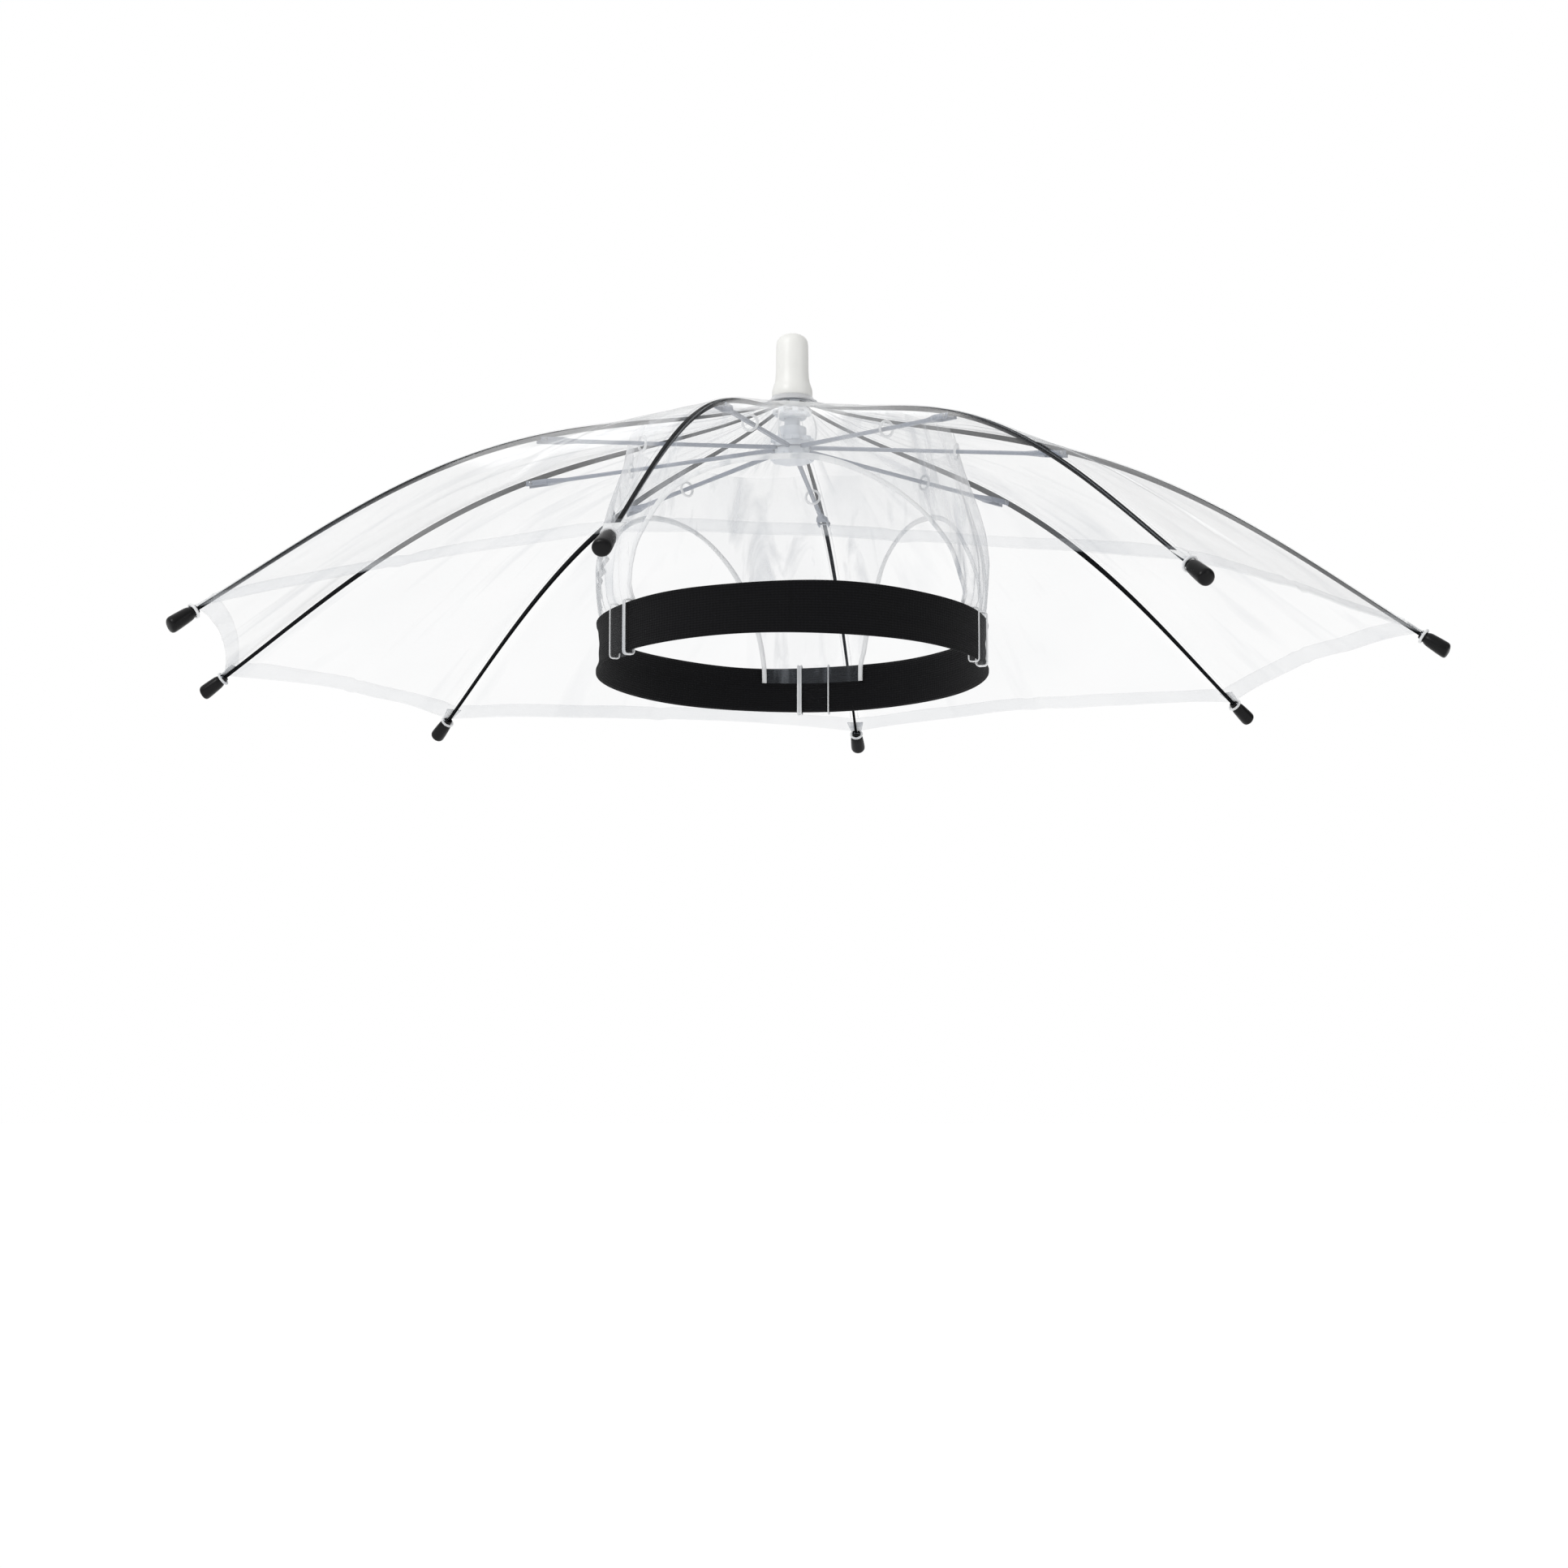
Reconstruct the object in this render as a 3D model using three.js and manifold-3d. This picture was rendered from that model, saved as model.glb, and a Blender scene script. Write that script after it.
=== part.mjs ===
// Umbrella hat: a clear film canopy on eight ribs, held over the head by a film skirt and an elastic band.
// Millimetres, +Z up. The origin is the middle of the headband, on the axis of the canopy.
// The face looks along -Y. Azimuths are in degrees from the front, growing towards +X.

import * as THREE from 'three';
import { mergeVertices } from 'three/addons/utils/BufferGeometryUtils.js';
import Module from 'manifold-3d';

const wasm = await Module();
wasm.setup();

// Gaps between pieces
const touchGap = 0.35;
const slideGap = 0.6;
const seamGap = 0.8;

// Canopy
const rimRadius = 281;
const crownHeight = 120.4;
const rimLevel = -0.1;
const crownTerms = [1.04, -2.66, 4.57];
const filmWall = 1;
const panelSag = 3;
const sagPower = 3;
const scallopDepth = 5;
const scallopPower = 6;
const hemWidth = 7;
const hemStep = 0.5;
const canopyRows = 10;
const panelColumns = 5;

// Pole, knob, washer, notch and runner
const poleRadius = 3.6;
const poleBore = 2.2;
const poleInKnob = 12;
const finialHeight = 28;
const finialRadius = 7.5;
const washerRadius = 11.5;
const washerThickness = 0.8;
const notchRadius = 6.5;
const notchFlange = 2.5;
const notchFlangeEdge = 1.2;
const notchFlangeRoot = 1.5;
const notchHeight = 8;
const runnerDrop = 32.4;
const runnerLevel = crownHeight - runnerDrop;
const runnerFoot = 3;
const runnerNeck = 6;
const runnerFlange = 2;
const runnerCollar = 5;
const runnerRadius = 10;
const runnerNeckRadius = 8;
const turnedSides = 20;

// Ribs, caps and eyelets
const firstRibAzimuth = -12.4;
const ribWidth = 2.3;
const ribDepth = 2.2;
const ribSheet = 0.6;
const ribTipShare = 0.7;
const ribTaperStart = 0.5;
const ribInCap = 8;
const capLength = 14.5;
const capRadius = 4;
const capNeckRadius = 2;
const capNeckLength = 3;
const capShoulder = 1;
const capSides = 10;
const eyeletWire = 0.6;
const eyeletPlace = 1.6;
const eyeletFacets = 4;

// Stretchers
const stretcherWidth = 3;
const stretcherDepth = 2.4;
const jointRadius = 127;
const forkSlot = 10;
const forkLip = 2;
const forkTine = 0.9;
const forkDrop = 1.7;
const forkChamfer = 0.5;

// Headband
const bandHalfWidth = 89;
const bandDepthShare = 1.11;
const bandHeight = 22;
const bandThickness = 1.5;
const bandTilt = 2.5;
const bandCurl = 1;
const bandCurlPower = 4;
const bandFlatShare = 0.65;
const bandColumns = 64;

// Inner skirt
const skirtTuck = 8;
const skirtTopShare = 0.85;
const archDrop = 48.4;
const archTop = crownHeight - archDrop;
const pleatDepth = 2;
const pleatPitch = 13;
const pleatFan = 0.8;
const pleatReach = 16;
const skirtRows = 6;
const kneeShare = 0.05;
const legColumnStep = 3.6;
const archColumns = 10;
const loopWidth = 15;
const loopGap = 0.9;
const loopCorner = 1;
const eyeletHoleGap = 1.4;
const passageSides = 8;
const notchRun = 14;

// Ribs, going round past the right side: turn from even spacing in degrees, and lift of the tip as a share
// of crownHeight
const ribRows = [
  { turn: -1.3, lift: 0.032 },
  { turn: -1.1, lift: -0.003 },
  { turn: -4.7, lift: -0.021 },
  { turn: 3.4, lift: 0.009 },
  { turn: 5.0, lift: 0 },
  { turn: 7.8, lift: -0.011 },
  { turn: -1.7, lift: 0.007 },
  { turn: -2.5, lift: -0.012 },
];

// Skirt legs: azimuths of the two edges and the loop's middle, and how full the arch beside each edge is
const legRows = [
  { from: -92, to: -51, loop: -60, fullFrom: 2.2, fullTo: 2.4 },
  { from: 67, to: 99, loop: 79, fullFrom: 1.6, fullTo: 2.2 },
  { from: 157, to: 189, loop: 173, fullFrom: 2.2, fullTo: 2.2 },
];

// Skirt outline: height as a share of the way from the band's top to the canopy, size as a share of the
// band's. Its foot is tucked inside the band.
const skirtTuckedShare = 1 - (bandCurl + bandThickness + slideGap) / bandHalfWidth;
const skirtOutline = [
  { height: 0, size: skirtTuckedShare },
  { height: 0.07, size: 0.993 },
  { height: 0.17, size: 1.004 },
  { height: 0.3, size: 1.005 },
  { height: 0.45, size: 0.984 },
  { height: 0.6, size: 0.948 },
  { height: 0.8, size: 0.892 },
  { height: 1, size: skirtTopShare },
];

// Knob outline: height as a share of finialHeight, size as a share of finialRadius
const finialOutline = [
  { height: 0, size: 1.24 },
  { height: 0.05, size: 1.24 },
  { height: 0.15, size: 1.11 },
  { height: 0.28, size: 1.02 },
  { height: 0.45, size: 1 },
  { height: 0.84, size: 0.98 },
  { height: 0.93, size: 0.86 },
  { height: 0.99, size: 0.5 },
  { height: 1, size: 0 },
];

// Cap outline beyond the shoulder: place as a share of the way to the end, size as a share of capRadius
const capOutline = [
  { place: 0, size: 0.94 },
  { place: 0.4, size: 1 },
  { place: 0.7, size: 0.97 },
  { place: 0.92, size: 0.72 },
  { place: 1, size: 0 },
];

// Materials
const clearFilm = new THREE.MeshStandardMaterial({
  color: 0xe9eef2, roughness: 0.15, metalness: 0, transparent: true, opacity: 0.35,
});
const whitePlastic = new THREE.MeshStandardMaterial({ color: 0xf3f3f1, roughness: 0.35, metalness: 0 });
const milkyPlastic = new THREE.MeshStandardMaterial({ color: 0xdfe6ee, roughness: 0.3, metalness: 0 });
const blackSteel = new THREE.MeshStandardMaterial({ color: 0x1a1b1e, roughness: 0.4, metalness: 0.6 });
const blackPlastic = new THREE.MeshStandardMaterial({ color: 0x1c1c1e, roughness: 0.45, metalness: 0 });
const blackElastic = new THREE.MeshStandardMaterial({ color: 0x111113, roughness: 0.9, metalness: 0 });
const bluePlastic = new THREE.MeshStandardMaterial({ color: 0xa9b4c4, roughness: 0.3, metalness: 0 });

const group = new THREE.Group();
const radians = THREE.MathUtils.degToRad;
const lerp = THREE.MathUtils.lerp;

function addMesh(name, geometry, material) {
  const mesh = new THREE.Mesh(geometry, material);
  mesh.name = name;
  group.add(mesh);
  return mesh;
}

// Unit vector that points outward, level, at an azimuth
function outward(azimuth) {
  return new THREE.Vector3(Math.sin(radians(azimuth)), -Math.cos(radians(azimuth)), 0);
}

// A mesh from a list of sections with equally many corners. A ring joins its last section to its first,
// and a bar is closed at both ends with the given flat triangles.
function loft(sections, endTriangles = null) {
  const corners = sections[0].length;
  const joints = endTriangles ? sections.length - 1 : sections.length;
  const triangles = [];
  for (let i = 0; i < joints; i += 1) {
    const here = i * corners;
    const next = ((i + 1) % sections.length) * corners;
    for (let j = 0; j < corners; j += 1) {
      const k = (j + 1) % corners;
      triangles.push(here + j, next + j, next + k, here + j, next + k, here + k);
    }
  }
  if (endTriangles) {
    const last = (sections.length - 1) * corners;
    for (const [a, b, c] of endTriangles) {
      triangles.push(a, c, b, last + a, last + b, last + c);
    }
  }
  const geometry = new THREE.BufferGeometry().setFromPoints(sections.flat());
  geometry.setIndex(triangles);
  geometry.computeVertexNormals();
  return geometry;
}

// A body turned about +Z from a closed list of [radius, height] corners
function turned(corners, sides = turnedSides) {
  const outline = corners.map(([radius, height]) => new THREE.Vector2(radius, height));
  if (corners[0][0] > 0) {
    outline.push(outline[0].clone());
  }
  return new THREE.LatheGeometry(outline, sides).rotateX(Math.PI / 2);
}

function toManifold(geometry) {
  const bare = geometry.clone();
  bare.deleteAttribute('normal');
  bare.deleteAttribute('uv');
  const merged = mergeVertices(bare);
  return new wasm.Manifold(new wasm.Mesh({
    numProp: 3,
    vertProperties: new Float32Array(merged.attributes.position.array),
    triVerts: new Uint32Array(merged.index.array),
  }));
}

function fromManifold(solid) {
  const mesh = solid.getMesh();
  const geometry = new THREE.BufferGeometry();
  geometry.setAttribute('position', new THREE.BufferAttribute(mesh.vertProperties, 3));
  geometry.setIndex(new THREE.BufferAttribute(mesh.triVerts, 1));
  geometry.computeVertexNormals();
  return geometry;
}

// Canopy surface. A share runs from 0 at the apex to 1 at the rim, along a rib or a line between two ribs.

const ribs = ribRows.map(({ turn, lift }, index) => ({
  azimuth: firstRibAzimuth + index * (360 / ribRows.length) + turn,
  lift,
}));

// The angle from each rib to the next
function panelSpan(index) {
  const next = ribs[(index + 1) % ribs.length];
  return (next.azimuth - ribs[index].azimuth + 360) % 360;
}

const widestPanel = Math.max(...ribs.map((rib, index) => panelSpan(index)));

// The way down from the apex is a curve of the fourth order that ends at 1: steep at the pole, flat over the
// head and steep again at the rim. Its last term is what the others leave.
const canopyTerms = [...crownTerms, 1 - crownTerms.reduce((sum, term) => sum + term)];

function ribDrop(share) {
  return canopyTerms.reduce((sum, term, index) => sum + term * share ** (index + 1), 0);
}

function ribSlope(share) {
  const slopes = canopyTerms.map((term, index) => term * (index + 1) * share ** index);
  return (slopes.reduce((sum, slope) => sum + slope) * crownHeight) / rimRadius;
}

function ribHeight(rib, share) {
  return rimLevel + crownHeight * (1 - ribDrop(share) + rib.lift * share ** 2);
}

function wallDrop(share) {
  return filmWall * Math.hypot(1, ribSlope(share));
}

// A point of the canopy's top, on the line between rib a and rib b
function canopyPoint(a, b, across, share) {
  const bow = 4 * across * (1 - across);
  const reach = share * (1 - (scallopDepth / rimRadius) * bow * share ** scallopPower);
  const point = outward(a.azimuth).lerp(outward(b.azimuth), across).multiplyScalar(rimRadius * reach);
  point.z = lerp(ribHeight(a, reach), ribHeight(b, reach), across) - sagDrop(bow, reach);
  return point;
}

function sagDrop(bow, share) {
  return panelSag * bow * share * (1 - share ** sagPower);
}

// The height of the canopy's underside above a point that is well inside the rim
function canopyUnderside(azimuth, radius) {
  const fromFirst = (((azimuth - ribs[0].azimuth) % 360) + 360) % 360;
  let index = 0;
  while (index < ribs.length - 1 && ribs[index + 1].azimuth - ribs[0].azimuth <= fromFirst) {
    index += 1;
  }
  const a = ribs[index];
  const b = ribs[(index + 1) % ribs.length];
  const span = panelSpan(index);
  const turnIn = fromFirst - (a.azimuth - ribs[0].azimuth);
  const chord = Math.cos(radians(span / 2)) / Math.cos(radians(turnIn - span / 2));
  const share = radius / (rimRadius * chord);
  const toB = Math.sin(radians(turnIn));
  const across = toB / (toB + Math.sin(radians(span - turnIn)));
  const bow = 4 * across * (1 - across);
  return lerp(ribHeight(a, share), ribHeight(b, share), across) - sagDrop(bow, share) - wallDrop(share);
}

const poleHole = poleRadius + touchGap;
const holeShare = poleHole / (rimRadius * Math.cos(radians(widestPanel / 2)));

const hemStart = 1 - hemWidth / rimRadius;
const rowShares = [];
for (let row = 0; row <= canopyRows; row += 1) {
  rowShares.push(lerp(holeShare, hemStart, row / canopyRows));
}

function canopySection(a, b, across) {
  const top = rowShares.map((share) => canopyPoint(a, b, across, share));
  const raised = [hemStart + hemStep / rimRadius, 1].map((share) => {
    const point = canopyPoint(a, b, across, share);
    point.z += hemStep;
    return point;
  });
  const bottom = [...rowShares, 1].map((share) => {
    const point = canopyPoint(a, b, across, share);
    point.z -= wallDrop(share);
    return point;
  });
  return [...bottom, ...raised.reverse(), ...top.reverse()];
}

function makeCanopy() {
  const sections = [];
  ribs.forEach((rib, index) => {
    const next = ribs[(index + 1) % ribs.length];
    for (let column = 0; column < panelColumns; column += 1) {
      sections.push(canopySection(rib, next, column / panelColumns));
    }
  });
  addMesh('canopy', loft(sections), clearFilm);
}

// Pole and what is turned about it

const levelRib = { azimuth: 0, lift: 0 };
const holeLevel = ribHeight(levelRib, holeShare);

// The level of the film's underside close to the pole
function filmUnderside(radius) {
  const share = radius / rimRadius;
  return ribHeight(levelRib, share) - wallDrop(share);
}

// How far the film's first strip has fallen at a radius. The washer and the knob's foot follow it.
function filmFall(radius) {
  const slope = (holeLevel - ribHeight(levelRib, rowShares[1])) / (rowShares[1] - holeShare);
  return slope * (radius / rimRadius - holeShare);
}

const runnerBoreFloor = runnerLevel + runnerFoot;
const runnerNeckTop = runnerBoreFloor + runnerNeck;
const runnerFlangeTop = runnerNeckTop + runnerFlange;
const runnerTop = runnerFlangeTop + runnerCollar;
const washerLevel = holeLevel + touchGap;
const finialLevel = washerLevel + washerThickness + touchGap;
const poleTop = finialLevel + poleInKnob;
const notchFlangeRadius = notchRadius + notchFlange;
const notchFlangeTop = filmUnderside(notchFlangeRadius) - ribDepth - 2 * slideGap;
const notchTop = filmUnderside(notchRadius) - touchGap;
const stretcherLevel = runnerBoreFloor + runnerNeck / 2;

function makePole() {
  const foot = runnerBoreFloor + touchGap;
  addMesh('pole', turned([
    [poleBore, foot], [poleRadius, foot], [poleRadius, poleTop], [poleBore, poleTop],
  ]), milkyPlastic);
}

function makeFinial() {
  const boreTop = poleTop + touchGap;
  const footRadius = finialRadius * finialOutline[0].size;
  const outside = finialOutline.map(({ height, size }) => (
    [finialRadius * size, finialLevel + finialHeight * height]
  ));
  const bore = [[0, boreTop], [poleHole, boreTop], [poleHole, finialLevel - filmFall(poleHole)]];
  const foot = [footRadius, finialLevel - filmFall(footRadius)];
  addMesh('finial', turned([...bore, foot, ...outside]), whitePlastic);
}

function makeTopWasher() {
  const inner = washerLevel - filmFall(poleHole);
  const outer = washerLevel - filmFall(washerRadius);
  addMesh('top_washer', turned([
    [poleHole, inner], [washerRadius, outer], [washerRadius, outer + washerThickness],
    [poleHole, inner + washerThickness],
  ]), clearFilm);
}

function makeTopNotch() {
  const foot = notchTop - notchHeight;
  addMesh('top_notch', turned([
    [poleHole, foot], [notchRadius, foot], [notchRadius, notchFlangeTop - notchFlangeRoot],
    [notchFlangeRadius, notchFlangeTop - notchFlangeEdge], [notchFlangeRadius, notchFlangeTop],
    [notchRadius, notchFlangeTop], [notchRadius, notchTop], [poleHole, notchTop],
  ]), milkyPlastic);
}

function makeRunner() {
  addMesh('runner', turned([
    [0, runnerLevel], [runnerRadius, runnerLevel], [runnerRadius, runnerBoreFloor],
    [runnerNeckRadius, runnerBoreFloor], [runnerNeckRadius, runnerNeckTop], [runnerRadius, runnerNeckTop],
    [runnerRadius, runnerFlangeTop], [notchRadius, runnerFlangeTop], [notchRadius, runnerTop],
    [poleHole, runnerTop], [poleHole, runnerBoreFloor], [0, runnerBoreFloor],
  ]), milkyPlastic);
}

// Ribs: a channel that is open below. Its corners are [side, up] about the middle of the section.

const ribCorners = [
  [-ribWidth / 3, ribDepth / 2],
  [ribWidth / 3, ribDepth / 2],
  [ribWidth / 2, -ribDepth / 2],
  [ribWidth / 2 - ribSheet, -ribDepth / 2],
  [ribWidth / 3 - ribSheet, ribDepth / 2 - ribSheet],
  [-ribWidth / 3 + ribSheet, ribDepth / 2 - ribSheet],
  [-ribWidth / 2 + ribSheet, -ribDepth / 2],
  [-ribWidth / 2, -ribDepth / 2],
];
const ribEnds = THREE.ShapeUtils.triangulateShape(ribCorners.map(([x, y]) => new THREE.Vector2(x, y)), []);

function ribScale(share) {
  return lerp(1, ribTipShare, THREE.MathUtils.smoothstep(share, ribTaperStart, 1));
}

// The middle of the rib's section, with the direction out along the rib and the direction up across it
function ribFrame(rib, share) {
  const out = outward(rib.azimuth);
  const slope = ribSlope(share) - (2 * rib.lift * share * crownHeight) / rimRadius;
  const along = out.clone().setZ(-slope).normalize();
  const up = out.clone().multiplyScalar(slope).setZ(1).normalize();
  const below = filmWall + slideGap + (ribDepth * ribScale(share)) / 2;
  const middle = out.multiplyScalar(rimRadius * share).setZ(ribHeight(rib, share));
  return { middle: middle.addScaledVector(up, -below), along, up };
}

function makeRib(rib, name) {
  const start = (notchRadius + touchGap + ribDepth / 2) / rimRadius;
  const side = outward(rib.azimuth + 90);
  const sections = [start, ...rowShares.filter((share) => share > start), 1].map((share) => {
    const { middle, up } = ribFrame(rib, share);
    const scale = ribScale(share);
    return ribCorners.map(([x, y]) => middle.clone()
      .addScaledVector(side, x * scale).addScaledVector(up, y * scale));
  });
  const { along } = ribFrame(rib, 1);
  sections.push(sections.at(-1).map((corner) => corner.clone().addScaledVector(along, ribInCap)));
  addMesh(name, loft(sections, ribEnds), blackSteel);
}

// Turns a body made along +Z so that it points out along the end of a rib
function placeOnRibEnd(mesh, rib, distance) {
  const { middle, along } = ribFrame(rib, 1);
  mesh.quaternion.setFromUnitVectors(new THREE.Vector3(0, 0, 1), along);
  mesh.position.copy(middle).addScaledVector(along, distance);
}

const capStart = filmWall * ribSlope(1) + touchGap;
const ribTipReach = (Math.hypot(ribWidth, ribDepth) / 2) * ribTipShare;
const capBore = ribTipReach + touchGap;

function makeTipCap(rib, name) {
  const boreDepth = ribInCap + touchGap;
  const shoulder = capNeckLength + capShoulder;
  const body = capOutline.map(({ place, size }) => [capRadius * size, lerp(shoulder, capLength, place)]);
  const mesh = addMesh(name, turned([
    [0, boreDepth], [capBore, boreDepth], [capBore, 0],
    [capNeckRadius, 0], [capNeckRadius, capNeckLength], ...body,
  ], capSides), blackPlastic);
  placeOnRibEnd(mesh, rib, capStart);
}

function makeEyelet(rib, name) {
  const radius = capNeckRadius + touchGap + eyeletWire;
  const ring = new THREE.TorusGeometry(radius, eyeletWire, eyeletFacets, capSides);
  placeOnRibEnd(addMesh(name, ring, clearFilm), rib, capStart + eyeletPlace);
}

// Stretchers: a flat bar with a fork that takes the rib between its tines

function stretcherEnds(rib) {
  const out = outward(rib.azimuth);
  const joint = ribFrame(rib, jointRadius / rimRadius).middle;
  joint.z -= forkDrop;
  const root = out.clone().multiplyScalar(runnerNeckRadius + touchGap).setZ(stretcherLevel);
  return { root, joint };
}

function makeStretcher(rib, name) {
  const { root, joint } = stretcherEnds(rib);
  const length = root.distanceTo(joint) + forkLip;
  const bar = stretcherWidth / 2;
  const slot = ribWidth / 2 + touchGap;
  const tine = slot + forkTine;
  const slotStart = length - forkSlot;
  const tipStart = length - 2 * forkChamfer;
  const outline = new THREE.Shape([
    [0, -bar], [slotStart - 2 * tine, -bar], [slotStart - tine / 2, -tine], [tipStart, -tine],
    [length, forkChamfer - tine], [length, -slot], [slotStart + slot, -slot], [slotStart, -slot / 2],
    [slotStart, slot / 2], [slotStart + slot, slot], [length, slot], [length, tine - forkChamfer],
    [tipStart, tine], [slotStart - tine / 2, tine], [slotStart - 2 * tine, bar], [0, bar],
  ].map(([x, y]) => new THREE.Vector2(x, y)));
  const body = new THREE.ExtrudeGeometry(outline, { depth: stretcherDepth, bevelEnabled: false });
  body.translate(0, 0, -stretcherDepth / 2);
  const mesh = addMesh(name, body, bluePlastic);
  const along = joint.clone().sub(root).normalize();
  const side = outward(rib.azimuth + 90);
  const basis = new THREE.Matrix4().makeBasis(along, side, along.clone().cross(side));
  mesh.quaternion.setFromRotationMatrix(basis);
  mesh.position.copy(root);
}

// Headband and skirt share one oval. Its azimuth is an angle of the oval, and size 1 is the band's outside.

function ovalPoint(azimuth, halfWidth, depthShare = bandDepthShare) {
  const out = outward(azimuth);
  return new THREE.Vector3(out.x * halfWidth, out.y * halfWidth * depthShare, 0);
}

// The outward direction across the oval, level
function ovalNormal(azimuth) {
  const out = outward(azimuth);
  return new THREE.Vector3(out.x * bandDepthShare, out.y, 0).normalize();
}

function bandLift(point) {
  return -point.y * Math.tan(radians(bandTilt));
}

function makeHeadband() {
  const half = bandHeight / 2;
  const outside = [-1, -bandFlatShare, bandFlatShare, 1].map((share) => (
    [bandCurl * Math.abs(share) ** bandCurlPower, half * share]
  ));
  const inside = outside.map(([x, z]) => [x - bandThickness, z]).reverse();
  const sections = [];
  for (let column = 0; column < bandColumns; column += 1) {
    const azimuth = (360 * column) / bandColumns;
    const edge = ovalPoint(azimuth, bandHalfWidth - bandCurl);
    const normal = ovalNormal(azimuth);
    sections.push([...outside, ...inside].map(([x, z]) => {
      const corner = edge.clone().addScaledVector(normal, x);
      corner.z = z + bandLift(edge);
      return corner;
    }));
  }
  addMesh('headband', loft(sections), blackElastic);
}

// Inner skirt

function bandTopAt(azimuth) {
  return bandHeight / 2 + bandLift(ovalPoint(azimuth, bandHalfWidth));
}

function skirtTopAt(azimuth) {
  const rim = ovalPoint(azimuth, bandHalfWidth * skirtTopShare, 1);
  const compass = THREE.MathUtils.radToDeg(Math.atan2(rim.x, -rim.y));
  return canopyUnderside(compass, rim.length()) - seamGap;
}

function outlineSize(height) {
  const above = Math.max(1, skirtOutline.findIndex((row) => row.height >= height));
  const low = skirtOutline[above - 1];
  const high = skirtOutline[above];
  return lerp(low.size, high.size, (height - low.height) / (high.height - low.height));
}

// How far an azimuth is inside or near a leg, from 1 inside to 0 away from it, with the leg's middle
function legAt(azimuth) {
  let best = { weight: 0, middle: 0 };
  for (const leg of legRows) {
    const middle = (leg.from + leg.to) / 2;
    const away = Math.abs((((azimuth - middle + 180) % 360) + 360) % 360 - 180) - (leg.to - leg.from) / 2;
    const weight = 1 - THREE.MathUtils.smoothstep(away, 0, pleatReach);
    if (weight > best.weight) {
      best = { weight, middle };
    }
  }
  return best;
}

// A point of the skirt's outer face
function skirtPoint(azimuth, z) {
  const low = bandTopAt(azimuth);
  const height = THREE.MathUtils.clamp((z - low) / (skirtTopAt(azimuth) - low), 0, 1);
  const depthShare = lerp(bandDepthShare, 1, height);
  const { weight, middle } = legAt(azimuth);
  const phase = (azimuth - middle) / (pleatPitch * (1 + pleatFan * height));
  const fold = pleatDepth * weight * Math.sin(Math.PI * height) ** 2 * Math.cos(2 * Math.PI * phase);
  const point = ovalPoint(azimuth, bandHalfWidth * outlineSize(height), depthShare);
  return point.addScaledVector(ovalNormal(azimuth), fold).setZ(z);
}

function skirtColumn(azimuth, lowest) {
  const highest = skirtTopAt(azimuth);
  const knee = Math.max(bandTopAt(azimuth) + touchGap, lerp(lowest, highest, kneeShare));
  const outer = [skirtPoint(azimuth, lowest)];
  for (let row = 0; row <= skirtRows; row += 1) {
    outer.push(skirtPoint(azimuth, lerp(knee, highest, row / skirtRows)));
  }
  const normal = ovalNormal(azimuth);
  const inner = outer.map((point) => point.clone().addScaledVector(normal, -filmWall)).reverse();
  return [...outer, ...inner];
}

// The lower edge of the arch, from 0 at its foot to 1 at its top, for a share of the way across it
function archRise(share, fullFrom, fullTo) {
  const side = Math.abs(2 * share - 1);
  const fullness = share < 0.5 ? fullFrom : fullTo;
  return (1 - side ** fullness) ** (1 / fullness);
}

function skirtColumns() {
  const columns = [];
  legRows.forEach((leg, index) => {
    const next = legRows[(index + 1) % legRows.length];
    const legSteps = Math.round((leg.to - leg.from) / legColumnStep);
    for (let step = 0; step <= legSteps; step += 1) {
      const azimuth = lerp(leg.from, leg.to, step / legSteps);
      columns.push(skirtColumn(azimuth, bandTopAt(azimuth) - skirtTuck));
    }
    const end = next.from > leg.to ? next.from : next.from + 360;
    for (let step = 1; step < archColumns; step += 1) {
      const share = (1 - Math.cos((Math.PI * step) / archColumns)) / 2;
      const azimuth = lerp(leg.to, end, share);
      const foot = bandTopAt(azimuth) - skirtTuck;
      columns.push(skirtColumn(azimuth, lerp(foot, archTop, archRise(share, leg.fullTo, next.fullFrom))));
    }
  });
  return columns;
}

// A loop of film round the band's section, made about the middle of the section: x outward, y up
function makeLoop(azimuth) {
  const half = bandHeight / 2 + loopGap;
  const inside = -(bandThickness + bandCurl) / 2 - loopGap;
  const outside = -inside;
  const rectangle = (grow, corner) => {
    const [left, right, low, high] = [inside - grow, outside + grow, -half - grow, half + grow];
    return [
      [left, low + corner], [left + corner, low], [right - corner, low], [right, low + corner],
      [right, high - corner], [right - corner, high], [left + corner, high], [left, high - corner],
    ].map(([x, y]) => new THREE.Vector2(x, y));
  };
  const shape = new THREE.Shape(rectangle(filmWall, loopCorner));
  shape.holes.push(new THREE.Path(rectangle(0, touchGap)));
  const body = new THREE.ExtrudeGeometry(shape, { depth: loopWidth, bevelEnabled: false });
  body.translate(0, 0, -loopWidth / 2);
  const normal = ovalNormal(azimuth);
  const up = new THREE.Vector3(0, 0, 1);
  const middle = ovalPoint(azimuth, bandHalfWidth).addScaledVector(normal, -(bandCurl + bandThickness) / 2);
  middle.z = bandLift(middle);
  body.applyMatrix4(new THREE.Matrix4().makeBasis(normal, up, normal.clone().cross(up)).setPosition(middle));
  return toManifold(body);
}

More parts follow.
